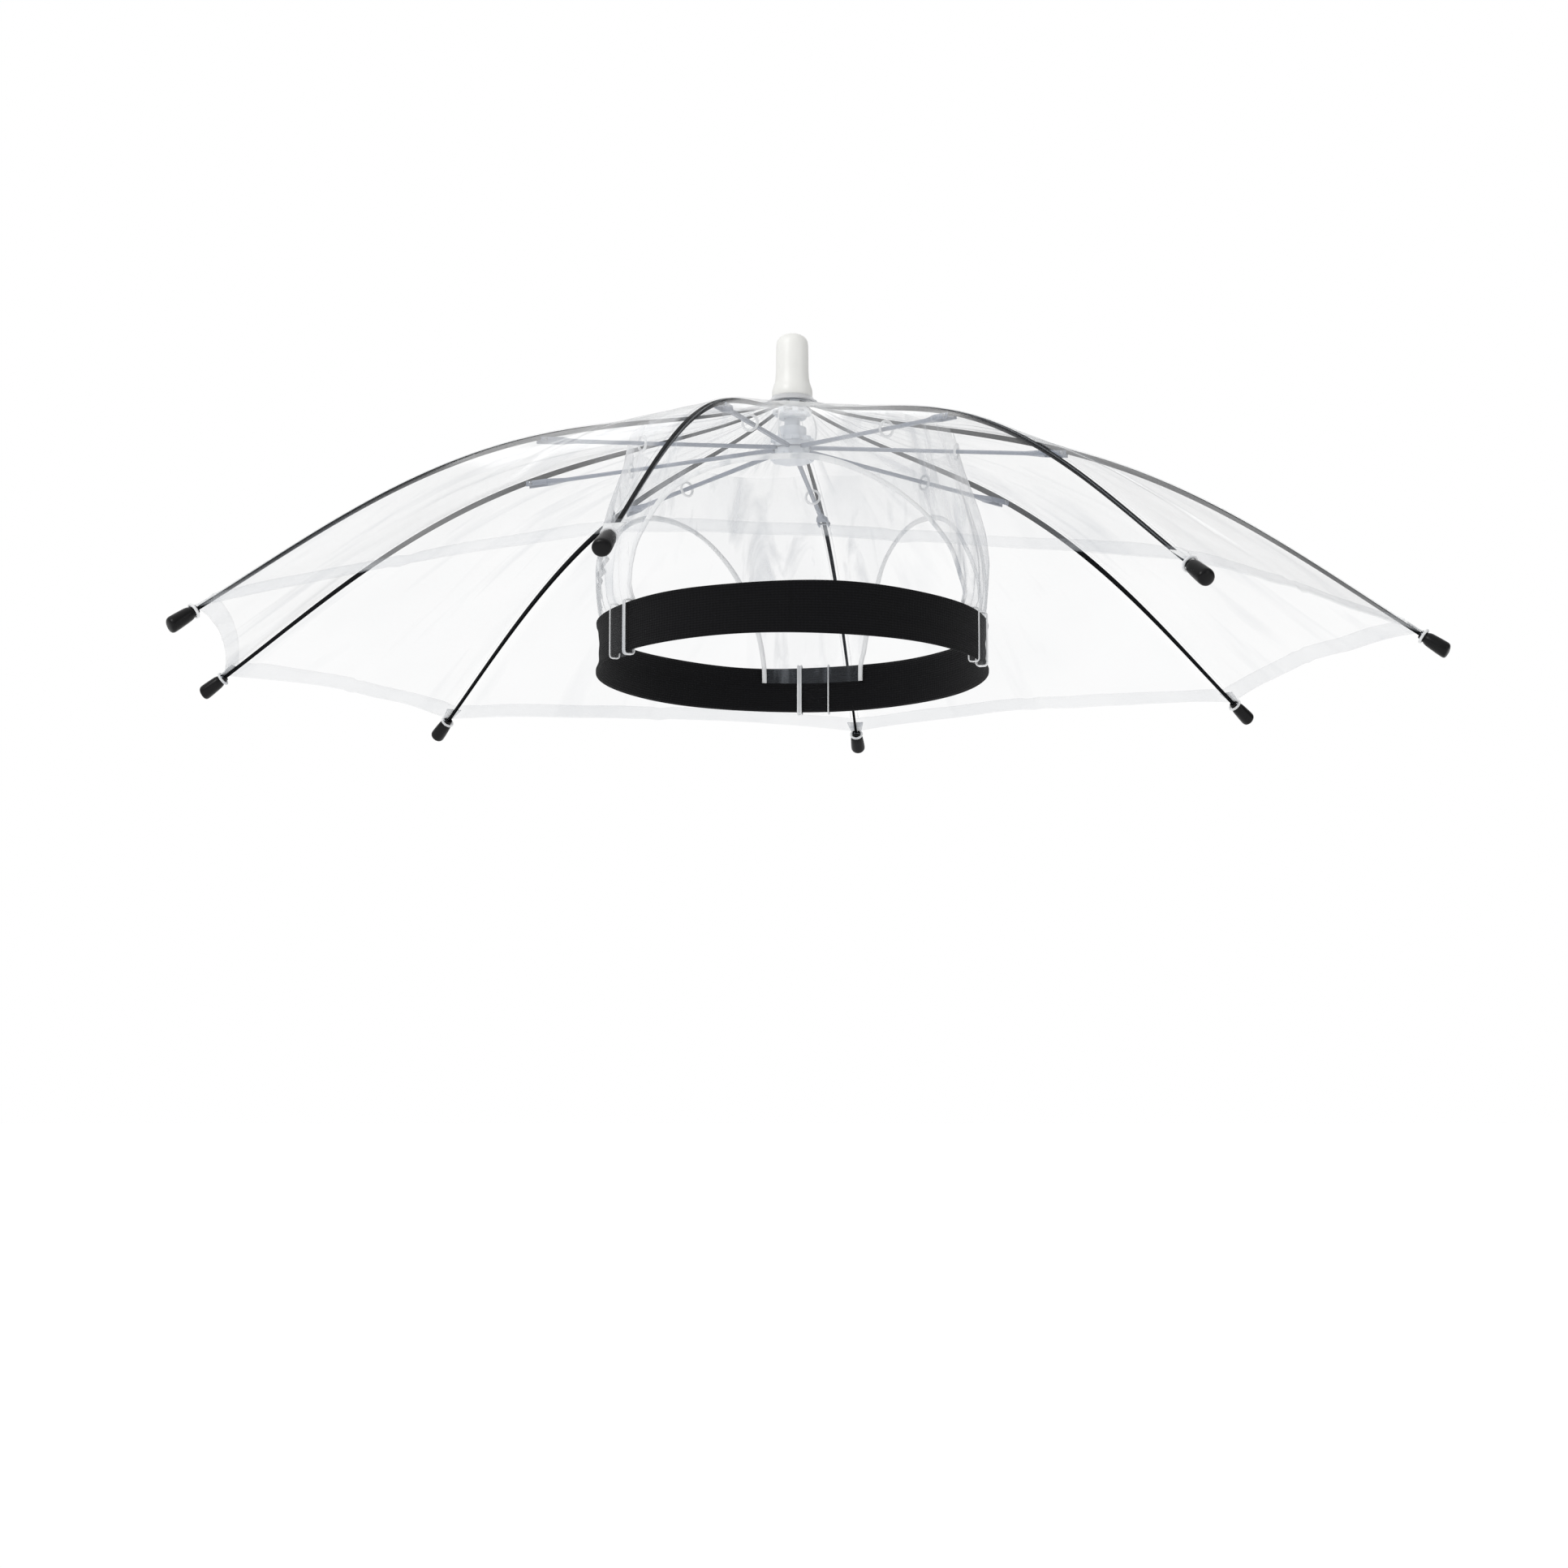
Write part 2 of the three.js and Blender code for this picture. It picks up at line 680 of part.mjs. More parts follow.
// The round passage of a stretcher through the skirt
function stretcherPassage(rib) {
  const { root, joint } = stretcherEnds(rib);
  const radius = Math.hypot(stretcherWidth, stretcherDepth) / 2 + eyeletHoleGap;
  const along = joint.clone().sub(root);
  const body = new THREE.CylinderGeometry(radius, radius, along.length(), passageSides);
  body.rotateZ(-Math.PI / 2);
  const side = outward(rib.azimuth + 90);
  const axis = along.clone().normalize();
  const basis = new THREE.Matrix4().makeBasis(axis, side, axis.clone().cross(side));
  body.applyMatrix4(basis.setPosition(root.clone().addScaledVector(along, 0.5)));
  return toManifold(body);
}

// The notch in the skirt's top edge that a rib lies in
function ribNotch(rib) {
  const { middle, along, up } = ribFrame(rib, (bandHalfWidth * skirtTopShare) / rimRadius);
  const side = outward(rib.azimuth + 90);
  const body = new THREE.BoxGeometry(notchRun, ribWidth + 2 * slideGap, ribDepth + 2 * slideGap);
  body.applyMatrix4(new THREE.Matrix4().makeBasis(along, side, up).setPosition(middle));
  return toManifold(body);
}

function makeInnerSkirt() {
  let skirt = toManifold(loft(skirtColumns()));
  for (const leg of legRows) {
    skirt = skirt.add(makeLoop(leg.loop));
  }
  for (const rib of ribs) {
    skirt = skirt.subtract(stretcherPassage(rib)).subtract(ribNotch(rib));
  }
  addMesh('inner_skirt', fromManifold(skirt), clearFilm);
}

makeCanopy();
makePole();
makeFinial();
makeTopWasher();
makeTopNotch();
makeRunner();
ribs.forEach((rib, index) => {
  const number = index + 1;
  makeRib(rib, `rib_${number}`);
  makeTipCap(rib, `tip_cap_${number}`);
  makeEyelet(rib, `eyelet_${number}`);
  makeStretcher(rib, `stretcher_${number}`);
});
makeHeadband();
makeInnerSkirt();

export default group;
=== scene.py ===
# %% [markdown]
# # An umbrella hat in clear film
# The hat is a small umbrella that is worn: eight ribs spread a clear film, and a sleeve of the same film hangs
# from it to an elastic headband. Each part was made as a plain solid first. Here it gets its fine shape and its
# finish, in the same frame: metres, +Z up, the origin in the middle of the band and the front towards -Y. The
# solids are loaded first. Nothing here may outgrow it.

# %% Load the frame
from functools import partial

import bmesh
import bpy
import numpy as np
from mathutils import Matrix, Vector, noise


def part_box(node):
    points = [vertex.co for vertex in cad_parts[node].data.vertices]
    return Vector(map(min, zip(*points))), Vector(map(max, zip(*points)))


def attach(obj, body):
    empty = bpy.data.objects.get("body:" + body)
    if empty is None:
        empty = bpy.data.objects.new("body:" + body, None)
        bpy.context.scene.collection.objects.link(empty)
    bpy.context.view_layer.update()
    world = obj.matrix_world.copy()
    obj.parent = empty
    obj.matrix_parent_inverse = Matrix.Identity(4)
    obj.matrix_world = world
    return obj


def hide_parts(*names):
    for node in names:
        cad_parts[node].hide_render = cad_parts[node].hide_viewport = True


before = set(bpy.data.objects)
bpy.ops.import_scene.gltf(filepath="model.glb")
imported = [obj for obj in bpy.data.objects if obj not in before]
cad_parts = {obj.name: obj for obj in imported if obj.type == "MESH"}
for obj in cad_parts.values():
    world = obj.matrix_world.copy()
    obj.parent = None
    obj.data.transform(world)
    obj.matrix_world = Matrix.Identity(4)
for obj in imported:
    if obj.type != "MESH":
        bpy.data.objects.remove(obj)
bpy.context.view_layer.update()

# %% [markdown]
# ## Helpers for finishes
# Paint charts give colours as sRGB hex values, but light adds up on a linear scale, so one function turns them.
# A second one adds a node to a material with its settings and its links in one line.

# %% Colours and nodes


def linear(hex_colour):
    """An sRGB hex colour such as "C0FFEE" as linear red, green, blue and alpha"""
    parts = np.array([int(hex_colour[i:i + 2], 16) for i in (0, 2, 4)]) / 255
    parts = np.where(parts <= 0.04045, parts / 12.92, ((parts + 0.055) / 1.055) ** 2.4)
    return (*parts.tolist(), 1.0)


def set_inputs(material, node, **inputs):
    """Gives a node its settings and links. A name is a property, a socket with _ for a space, or i and the
    socket's number. A value is a constant, another node's output, or a node, whose first output is taken."""
    for name, value in inputs.items():
        if hasattr(node, name):
            setattr(node, name, value)
            continue
        socket = node.inputs[int(name[1:]) if name[1:].isdigit() else name.replace("_", " ")]
        value = value.outputs[0] if isinstance(value, bpy.types.Node) else value
        if isinstance(value, bpy.types.NodeSocket):
            material.node_tree.links.new(value, socket)
        else:
            socket.default_value = value
    return node


def add_node(material, kind, **inputs):
    """A new shader node of that kind, such as Math or Bump, with its settings and links"""
    return set_inputs(material, material.node_tree.nodes.new("ShaderNode" + kind), **inputs)


def new_material(name, **inputs):
    """A material, its Principled shader with the given settings, and add_node for this material"""
    material = bpy.data.materials.new(name)
    material.use_nodes = True
    shader = set_inputs(material, material.node_tree.nodes["Principled BSDF"], **inputs)
    return material, shader, partial(add_node, material)


def two_tone(material, shader, source, first, second):
    """The shader's colour drifts between two close tones as the source goes from 0 to 1"""
    tone = add_node(material, "Mix", data_type="RGBA", i0=source, i6=linear(first), i7=linear(second))
    set_inputs(material, shader, Base_Color=tone.outputs[2])


# %% [markdown]
# ## The film's finish
# The film is soft PVC about 0.15 mm thick. Seen square on it only takes a little of the light. Seen at a slant
# it turns milky, because it mirrors more of the white room and the light crosses more plastic. So its opacity
# rises with the slant, on top of a haze in clouds of about 60 mm, and its colour is painted from a grey seen
# square on to white at a slant, as a painted reflection of the room; Layer Weight gives the slant.
# Being furled leaves long soft folds: a noise about 13 mm across, drawn out down the skirt and from the pole out
# over the canopy, and strongest within 100 mm of the pole, where the film is gathered. The folds' crests are
# painted a darker grey, which is painted shade. A haze doesn't blur what touches it, so the film is made clearer
# within 8 mm of a rib, and the ribs stay black.

# %% Clear film
# The darker grey is painted shade along the folds; the other is the film's grey seen square on, which a painted
# reflection whitens at a slant
FOLD_SHADE_GREY, SQUARE_ON_GREY = "BFC4CB", "A7AEB7"


def film_material(name, tint, haze, slant, streak, outer_streak=0.0, roughness=0.16, square_on=SQUARE_ON_GREY,
                  on_ribs=False):
    """Soft PVC film. haze is its opacity seen square on, slant what is added edge on, and streak how strongly
    folds show near the pole, which fades to outer_streak. square_on is its colour seen square on. on_ribs is
    for the film that lies on the ribs: it lets their black through, its folds run out from the pole, and it is
    clearer further out."""
    film, shader, add = new_material(name, Roughness=roughness, IOR=1.53, Specular_IOR_Level=0.5)
    place = add("TexCoord").outputs["Object"]
    clouds = add("TexNoise", Vector=place, Scale=16.0, Detail=2.0)
    clouds = add("MapRange", Value=clouds, From_Min=0.35, From_Max=0.7, To_Min=0.75, To_Max=1.3)
    run, stretch = place, (1.0, 1.0, 0.16)
    if on_ribs:
        run = add("Attribute", attribute_name="spread_mm").outputs["Vector"]
        stretch = (0.001, 0.00012, 0.0)
    run = add("Mapping", Vector=run, Scale=stretch)
    folds = add("TexNoise", Vector=run, Scale=75.0, Detail=3.0, Distortion=0.6)
    crest = add("MapRange", Value=folds, From_Min=0.54, From_Max=0.7)
    level = add("Mapping", Vector=place, Scale=(1.0, 1.0, 0.0))
    from_pole = add("VectorMath", operation="LENGTH", i0=level).outputs["Value"]
    strength = add("MapRange", Value=from_pole, From_Min=0.06, From_Max=0.13,
                        To_Min=streak, To_Max=outer_streak)
    fold = add("Math", operation="MULTIPLY", i0=crest, i1=strength)
    facing = add("LayerWeight", Blend=0.5).outputs["Facing"]
    # Painted reflection: the colour turns from the square-on grey to the white tint as the film is seen at a slant
    painted_reflection = add("MapRange", Value=facing, From_Min=0.1, From_Max=0.6)
    colour = add("Mix", data_type="RGBA", i0=painted_reflection, i6=linear(square_on), i7=linear(tint))
    # Painted shade: the folds' crests are painted a darker grey
    colour = add("Mix", data_type="RGBA", i0=crest, i6=colour.outputs[2], i7=linear(FOLD_SHADE_GREY))
    cover = add("Math", operation="POWER", i0=facing, i1=2.2)
    if on_ribs:
        outer = add("MapRange", Value=from_pole, From_Min=0.07, From_Max=0.2, To_Min=1.0, To_Max=0.6)
        cover = add("Math", operation="MULTIPLY", i0=cover, i1=outer)
    cover = add("Math", operation="MULTIPLY_ADD", i0=cover, i1=slant, i2=haze)
    cover = add("Math", operation="MULTIPLY", i0=cover, i1=clouds)
    cover = add("Math", operation="ADD", use_clamp=True, i0=cover, i1=fold)
    if on_ribs:
        rib_mm = add("Attribute", attribute_name="rib_mm").outputs["Fac"]
        clear = add("MapRange", Value=rib_mm, From_Min=2.5, From_Max=8.0, To_Min=0.06)
        cover = add("Math", operation="MULTIPLY", i0=cover, i1=clear)
    bump = add("Bump", Height=folds, Strength=0.3, Distance=0.0008)
    set_inputs(film, shader, Base_Color=colour.outputs[2], Alpha=cover, Normal=bump)
    return film


# Taut film between the ribs: clear in the middle of a panel, milky where it falls away from the eye
canopy_pvc = film_material("calendered_pvc_canopy", "EDEEEF", 0.065, 0.52, 0.26, 0.08, on_ribs=True)
# Gathered film stands at every slant, so the skirt looks milkier, and its folds show from top to bottom
skirt_pvc = film_material("calendered_pvc_skirt", "E8EAED", 0.06, 0.75, 0.35, 0.35)
# Two layers welded flat: an even, cooler band with no folds
hem_pvc = film_material("welded_pvc_hem", "CFD4DA", 0.09, 0.06, 0.0, roughness=0.2)
# A rolled edge is thick enough to look white, and draws the bright lines of the arches and loops
edge_pvc = film_material("rolled_pvc_edge", "F8F9FA", 0.7, 0.5, 0.0, roughness=0.25, square_on="F8F9FA")
# Thicker soft PVC: milky from every side, with a dull glint
soft_washer_pvc = film_material("soft_pvc_washer", "F1F2F4", 0.55, 0.3, 0.0, roughness=0.3, square_on="F1F2F4")
# A single clean strip, which all but vanishes on the black band
loop_pvc = film_material("clear_pvc_loop", "E6E9EE", 0.004, 0.07, 0.0, roughness=0.12)

# %% [markdown]
# ## Finishes of the hard parts
# No moulded or lacquered surface is quite even: its sheen drifts over patches of some millimetres, and a fine
# grain from the mould breaks up its glints. One function gives each hard part both, at its own sizes.

# %% Moulded plastics, lacquer and wire


def grained(name, tones, sheen, patch_mm, grain_mm, grain_height_mm, **inputs):
    """A finish whose colour and roughness drift between two values over patches, with a bump of fine grain"""
    material, shader, add = new_material(name, **inputs)
    place = add("TexCoord").outputs["Object"]
    patches = add("TexNoise", Vector=place, Scale=1000.0 / patch_mm, Detail=3.0)
    rough = add("MapRange", Value=patches, From_Min=0.3, From_Max=0.7,
                     To_Min=sheen[0], To_Max=sheen[1])
    grain = add("TexNoise", Vector=place, Scale=1000.0 / grain_mm, Detail=2.0)
    bump = add("Bump", Height=grain, Strength=0.5, Distance=grain_height_mm / 1000)
    two_tone(material, shader, patches, *tones)
    set_inputs(material, shader, Roughness=rough, Normal=bump)
    return material, shader, add


# Injection-moulded ABS: an even, opaque white with a soft satin glint
white_abs = grained("moulded_white_abs", ("EFEFEB", "F6F6F3"), (0.28, 0.38), 9, 0.5, 0.02, IOR=1.53)[0]
# Unpigmented polypropylene scatters light inside, so the hub looks frosted and what is behind it glimmers
frosted_pp = grained("moulded_frosted_polypropylene", ("E2E8F1", "F1F4F8"), (0.3, 0.45), 6, 0.8, 0.03,
                             IOR=1.49, Alpha=0.7)[0]
# Smoke-tinted polycarbonate: the stretchers are cool grey-blue bars with sharper glints
smoke_pc = grained("moulded_smoke_polycarbonate", ("6E7788", "8E97A6"), (0.18, 0.3), 12, 1.0, 0.02,
                           IOR=1.58, Alpha=0.78)[0]
# Black lacquer over pressed steel strip: thin black lines with hardly a glint
black_lacquer = grained("black_lacquered_steel", ("0C0D0F", "16181B"), (0.45, 0.65), 15, 0.7, 0.015,
                                IOR=1.45, Specular_IOR_Level=0.06)[0]
# Black nylon from a spark-eroded mould: deep black with one broad soft glint
black_nylon = grained("moulded_black_nylon", ("070708", "0E0E10"), (0.22, 0.34), 5, 0.5, 0.03,
                              IOR=1.5, Specular_IOR_Level=0.2)[0]
# Bare drawn steel: small bright points on pins, rivets and rings
bright_wire = grained("drawn_steel_wire", ("7C8088", "A0A4AA"), (0.25, 0.4), 3, 0.4, 0.01, Metallic=1.0)[0]

# %% [markdown]
# ## The headband's finish
# The band is a woven elastic: fine warp ribs run along it over rubber cores, and the weft crosses them. Real
# ribs are about 0.6 mm apart, finer than the picture shows, so they are drawn 1.1 mm apart. The yarn is matt
# polyester, which gives a deep black with a faint sheen where its fibres stand up at the edges.

# %% Woven elastic
WARP_MM, WEFT_MM = 1.1, 1.6
woven_elastic, shader, add = new_material(
    "woven_black_elastic", Roughness=0.82, IOR=1.45, Specular_IOR_Level=0.15,
    Sheen_Weight=0.03, Sheen_Roughness=0.5)
place = add("Attribute", attribute_name="band_mm").outputs["Vector"]
split = add("SeparateXYZ", Vector=place)
threads = []
for axis, pitch in (("X", WEFT_MM), ("Y", WARP_MM)):
    phase = add("Math", operation="MULTIPLY", i0=split.outputs[axis], i1=2 * np.pi / pitch)
    threads.append(add("Math", operation="SINE", i0=phase))
weave = add("Math", operation="MULTIPLY_ADD", i0=threads[0], i1=0.35, i2=threads[1])
# The fuzz of loose fibres is finer in truth, and is drawn about 1 mm coarse so that it shows
fuzz = add("TexNoise", Scale=900.0, Detail=3.0,
                Vector=add("TexCoord").outputs["Object"])
weave = add("Math", operation="ADD", i0=weave, i1=fuzz)
# The colour is lighter where the weave stands high and darker in its hollows, which is painted shade; the fuzz adds
# tone at random
two_tone(woven_elastic, shader, add("MapRange", Value=weave, From_Min=-1.2, From_Max=2.2),
         "050506", "131316")
set_inputs(woven_elastic, shader,
           Normal=add("Bump", Height=weave, Strength=0.55, Distance=0.0003))

# %% [markdown]
# ## Helpers for meshes
# Nearly every part of the hat is a row of sections: rings round the pole, slices along a rib, columns of a
# sheet. One function skins such rows, and another makes a piece of them that rides with the hat. Sizes are in
# millimetres, and are turned to metres at the last step.

# %% Skins and pieces
MM = 0.001
UP = np.array([0.0, 0.0, 1.0])
pieces_made = {}


def skin(sections, ring=False, closed=False, caps=False):
    """Faces between sections of equally many corners. ring joins the last section to the first, closed joins a
    section's last corner to its first, and caps close both ends"""
    sections = np.asarray(sections, float)
    rows, corners = sections.shape[:2]
    faces = []
    for i in range(rows if ring else rows - 1):
        here, there = i * corners, (i + 1) % rows * corners
        for j in range(corners if closed else corners - 1):
            k = (j + 1) % corners
            faces.append((here + j, here + k, there + k, there + j))
    if caps:
        faces.append(tuple(range(corners))[::-1])
        faces.append(tuple(range((rows - 1) * corners, rows * corners)))
    return sections.reshape(-1, 3), faces


def put(name, data):
    """A new object in the scene"""
    thing = bpy.data.objects.new(name, data)
    bpy.context.scene.collection.objects.link(thing)
    return thing


def bar(sections):
    """A closed bar through its sections"""
    return skin(sections, closed=True, caps=True)


def joined(parts):
    """Several (points, faces) as one"""
    points, faces, start = [], [], 0
    for part_points, part_faces in parts:
        points.append(np.asarray(part_points, float))
        faces += [tuple(corner + start for corner in face) for face in part_faces]
        start += len(part_points)
    return np.concatenate(points), faces


def make_piece(name, shape, material, replaces=None, crisp=None, face_out=True):
    """A mesh piece from points in millimetres and faces, riding with the hat. Edges stay crisp where faces meet
    at more than crisp degrees"""
    points, faces = shape
    mesh = bpy.data.meshes.new(name)
    mesh.from_pydata((np.asarray(points) * MM).tolist(), [], faces)
    mesh.validate()
    if face_out:
        body = bmesh.new()
        body.from_mesh(mesh)
        bmesh.ops.remove_doubles(body, verts=body.verts, dist=1e-7)
        bmesh.ops.recalc_face_normals(body, faces=body.faces)
        body.to_mesh(mesh)
        body.free()
    mesh.shade_smooth()
    if crisp:
        mesh.set_sharp_from_angle(angle=np.radians(crisp))
    mesh.materials.append(material)
    piece = put(name, mesh)
    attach(piece, "root")
    if replaces:
        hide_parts(replaces)
    pieces_made[name] = len(mesh.polygons)
    return piece


def mark(piece, name, values, vectors=False):
    """Writes a value or a vector on each of the piece's points, for its finish to read"""
    attribute = piece.data.attributes.new(name, "FLOAT_VECTOR" if vectors else "FLOAT", "POINT")
    attribute.data.foreach_set("vector" if vectors else "value", np.asarray(values, np.float32).ravel())


def smoothstep(x, low, high):
    """0 below low, 1 above high and a smooth rise between"""
    t = np.clip((np.asarray(x, float) - low) / (high - low), 0, 1)
    return t * t * (3 - 2 * t)


def lerp(a, b, t):
    return a + (b - a) * t


def unit(vector):
    return vector / np.linalg.norm(vector, axis=-1, keepdims=True)


def circle(count):
    """Angles of that many even steps round a circle"""
    return np.arange(count) * 2 * np.pi / count


def rounded(profile, radius, steps=4):
    """A closed outline of (x, y) corners with each corner rounded"""
    profile = np.asarray(profile, float)
    out = []
    for i, corner in enumerate(profile):
        to_before, to_after = profile[i - 1] - corner, profile[(i + 1) % len(profile)] - corner
        cut_before = corner + to_before * min(radius / np.linalg.norm(to_before), 0.45)
        cut_after = corner + to_after * min(radius / np.linalg.norm(to_after), 0.45)
        for t in np.linspace(0, 1, steps):
            out.append((1 - t) ** 2 * cut_before + 2 * t * (1 - t) * corner + t ** 2 * cut_after)
    return np.array(out)


def turned(profile, sides):
    """A body turned about +Z from an outline of (radius, height) that starts and ends on the axis or closes"""
    profile = np.asarray(profile, float)
    sections = [np.c_[profile[:, 0] * np.sin(a), -profile[:, 0] * np.cos(a), profile[:, 1]] for a in circle(sides)]
    return skin(sections, ring=True, closed=profile[0, 0] > 0)


def tube(path, radius, sides=8, ring=False, squash=1.0, up=UP):
    """A round bar along a path. squash flattens it along up, which is one direction or one for each point"""
    path = np.asarray(path, float)
    ahead = np.roll(path, -1, axis=0) if ring else np.vstack([path[1:], 2 * path[-1] - path[-2]])
    behind = np.roll(path, 1, axis=0) if ring else np.vstack([2 * path[0] - path[1], path[:-1]])
    along = unit(ahead - behind)
    side = np.cross(along, np.broadcast_to(up, path.shape))
    side /= np.linalg.norm(side, axis=1, keepdims=True) + 1e-12
    upward = np.cross(side, along)
    cosines, sines = np.cos(circle(sides)), squash * np.sin(circle(sides))
    sections = [point + size * (np.outer(cosines, side[i]) + np.outer(sines, upward[i]))
                for i, (point, size) in enumerate(zip(path, np.broadcast_to(radius, len(path))))]
    return skin(sections, ring=ring, closed=True, caps=not ring)


def dents(points, size, height, seed):
    """Gentle dents of that size and height at each point, from a fixed noise"""
    flat = np.asarray(points, float).reshape(-1, 3)
    values = [noise.noise(Vector(p) / size + Vector((seed, 0.0, 0.0))) for p in flat.tolist()]
    return height * np.array(values).reshape(np.asarray(points).shape[:-1])


# %% [markdown]
# ## Where the ribs and the canopy run
# The canopy's line from hub to rim is a curve of the fourth order: steep at the pole, flat over the band and
# steep again at the rim. A real hat is never quite even, so each rib has its own small turn and lift. These
# are the numbers that the solids were made with, so what is made here lies where they lie.

# %% The canopy's surface
RIM_RADIUS, CROWN_HEIGHT, RIM_LEVEL = 281.0, 120.4, -0.1
CROWN_TERMS = [1.04, -2.66, 4.57]
CROWN_TERMS.append(1 - sum(CROWN_TERMS))
FILM_WALL, PANEL_SAG, SCALLOP, HEM_WIDTH = 1.0, 3.0, 5.0, 7.0
FIRST_RIB_AZIMUTH = -12.4
RIB_ROWS = [(-1.3, 0.032), (-1.1, -0.003), (-4.7, -0.021), (3.4, 0.009),
            (5.0, 0.0), (7.8, -0.011), (-1.7, 0.007), (-2.5, -0.012)]
RIBS = [(FIRST_RIB_AZIMUTH + 45 * i + turn, lift) for i, (turn, lift) in enumerate(RIB_ROWS)]
PANEL_CHORD = 2 * RIM_RADIUS * np.sin(np.radians(22.5))


def outward(azimuth):
    """Level unit vectors that point outward at azimuths in degrees from the front"""
    a = np.radians(azimuth)
    return np.stack([np.sin(a), -np.cos(a), 0 * a], axis=-1)


def rib_drop(share):
    return sum(term * share ** (i + 1) for i, term in enumerate(CROWN_TERMS))


def rib_slope(share):
    return sum(term * (i + 1) * share ** i for i, term in enumerate(CROWN_TERMS)) * CROWN_HEIGHT / RIM_RADIUS


def rib_height(lift, share):
    return RIM_LEVEL + CROWN_HEIGHT * (1 - rib_drop(share) + lift * share ** 2)


def bow(across):
    """0 on the ribs and 1 midway between them"""
    return 4 * across * (1 - across)


def canopy_point(panel, across, share):
    """Points of the canopy's top, across from rib to rib and share from the apex to the rim, both 0 to 1"""
    (azimuth_a, lift_a), (azimuth_b, lift_b) = RIBS[panel], RIBS[(panel + 1) % 8]
    reach = share * (1 - SCALLOP / RIM_RADIUS * bow(across) * share ** 6)
    point = lerp(outward(azimuth_a), outward(azimuth_b), across[..., None]) * (RIM_RADIUS * reach)[..., None]
    point[..., 2] = lerp(rib_height(lift_a, reach), rib_height(lift_b, reach), across)
    point[..., 2] -= PANEL_SAG * bow(across) * reach * (1 - reach ** 3)
    return point


def rib_frame(rib, share, below):
    """A point that far below the canopy at the rib, with the directions along it, up across it and sideways"""
    azimuth, lift = RIBS[rib]
    out = outward(azimuth)
    slope = rib_slope(share) - 2 * lift * share * CROWN_HEIGHT / RIM_RADIUS
    along = np.array([out[0], out[1], -slope]) / np.hypot(1, slope)
    up = np.array([out[0] * slope, out[1] * slope, 1]) / np.hypot(1, slope)
    middle = out * RIM_RADIUS * share + UP * rib_height(lift, share) - up * below
    return middle, along, up, outward(azimuth + 90)


print("ribs at", [round(azimuth, 1) for azimuth, lift in RIBS])

# %% [markdown]
# ## The canopy
# The canopy is one sheet of eight welded panels. PVC film doesn't drape: the ribs hold it taut. So the sheet is
# a fine grid on the panels' own surface, with folds where the real one has them: gathers round the pole, folds
# that fan in from the caps, a soft crease down the middle of each panel, and shallow dents.

# %% Canopy film
POLE_HOLE_SHARE = 0.0146
FILM_ON_RIB, FOLD_REACH = 1.45, 140.0
COLUMNS, ROWS = 36, 104
column_shares = np.arange(COLUMNS) / COLUMNS
row_shares = POLE_HOLE_SHARE + (1 - POLE_HOLE_SHARE) * np.linspace(0, 1, ROWS) ** 1.08


def film_folds(points, across, panel):
    """How far the film stands above or below its taut surface"""
    radius = np.hypot(points[..., 0], points[..., 1])
    turn = np.arctan2(points[..., 0], -points[..., 1])
    # Coarse gathers fade 42 mm from the pole, and finer ones 80 mm from it
    gathers = 0.9 * np.exp(-(radius / 42) ** 2) * np.sin(23 * turn + 2.2 * np.sin(5 * turn))
    gathers += 0.5 * np.exp(-(radius / 80) ** 2) * np.sin(37 * turn + 3 * np.sin(3 * turn + 1))
    gathers *= smoothstep(radius, 7, 24)
    # Folds fan out from both corners of the panel and are strongest some 20 mm from them
    folds = np.zeros_like(radius)
    for rib in (panel, (panel + 1) % 8):
        away = points[..., :2] - (outward(RIBS[rib][0]) * RIM_RADIUS)[:2]
        distance = np.hypot(away[..., 0], away[..., 1])
        angle = np.arctan2(away[..., 0], -away[..., 1]) - np.radians(RIBS[rib][0])
        folds += 1.0 * np.exp(-distance / 48) * (1 - np.exp(-distance / 9)) * np.cos(11 * angle + rib)
    # The crease is 0.7 mm deep and about 4 mm wide
    crease = -0.7 * np.exp(-((across - 0.5) * radius * 0.77 / 2.2) ** 2) * smoothstep(radius, 40, 120)
    soft = dents(points, 70.0, 1.6, 3.0) * bow(across) + dents(points, 24.0, 0.55, 9.0) * np.sqrt(bow(across))
    soft += dents(points * np.array([1, 1, 0.3]), 9.0, 0.22, 21.0) * np.exp(-(radius / 110) ** 2)
    return gathers * bow(across) ** 0.3 + folds * bow(across) ** 0.5 + crease + soft * smoothstep(radius, 4, 20)


def film_depth(share):
    """How far the film lies under the solid's top: in its middle at the hub, and down on the ribs further out"""
    return lerp(FILM_WALL / 2, FILM_ON_RIB, smoothstep(share * RIM_RADIUS, 12, 30))


def film_panels(shares):
    """The eight panels of the real film, which is taut between the ribs but for its folds"""
    grids = []
    for panel in range(8):
        across, share = np.meshgrid(column_shares, shares, indexing="ij")
        grid = canopy_point(panel, across, share)
        grid[..., 2] += film_folds(grid, across, panel) - film_depth(share)
        grids.append(grid)
    return np.concatenate(grids)


canopy = make_piece("canopy_film", skin(film_panels(row_shares), ring=True), canopy_pvc, "canopy",
                    face_out=False)
from_rib = np.minimum(column_shares, 1 - column_shares)[:, None] * (PANEL_CHORD * row_shares)
mark(canopy, "rib_mm", np.tile(from_rib, (8, 1)))
# On the flat the folds run straight from the pole: x goes round it, measured 140 mm out, and y away from it
spread_mm = np.zeros((8 * COLUMNS, ROWS, 3))
spread_mm[..., 0] = (np.arange(8 * COLUMNS) * np.radians(45) / COLUMNS * FOLD_REACH)[:, None]
spread_mm[..., 1] = RIM_RADIUS * row_shares
mark(canopy, "spread_mm", spread_mm, vectors=True)

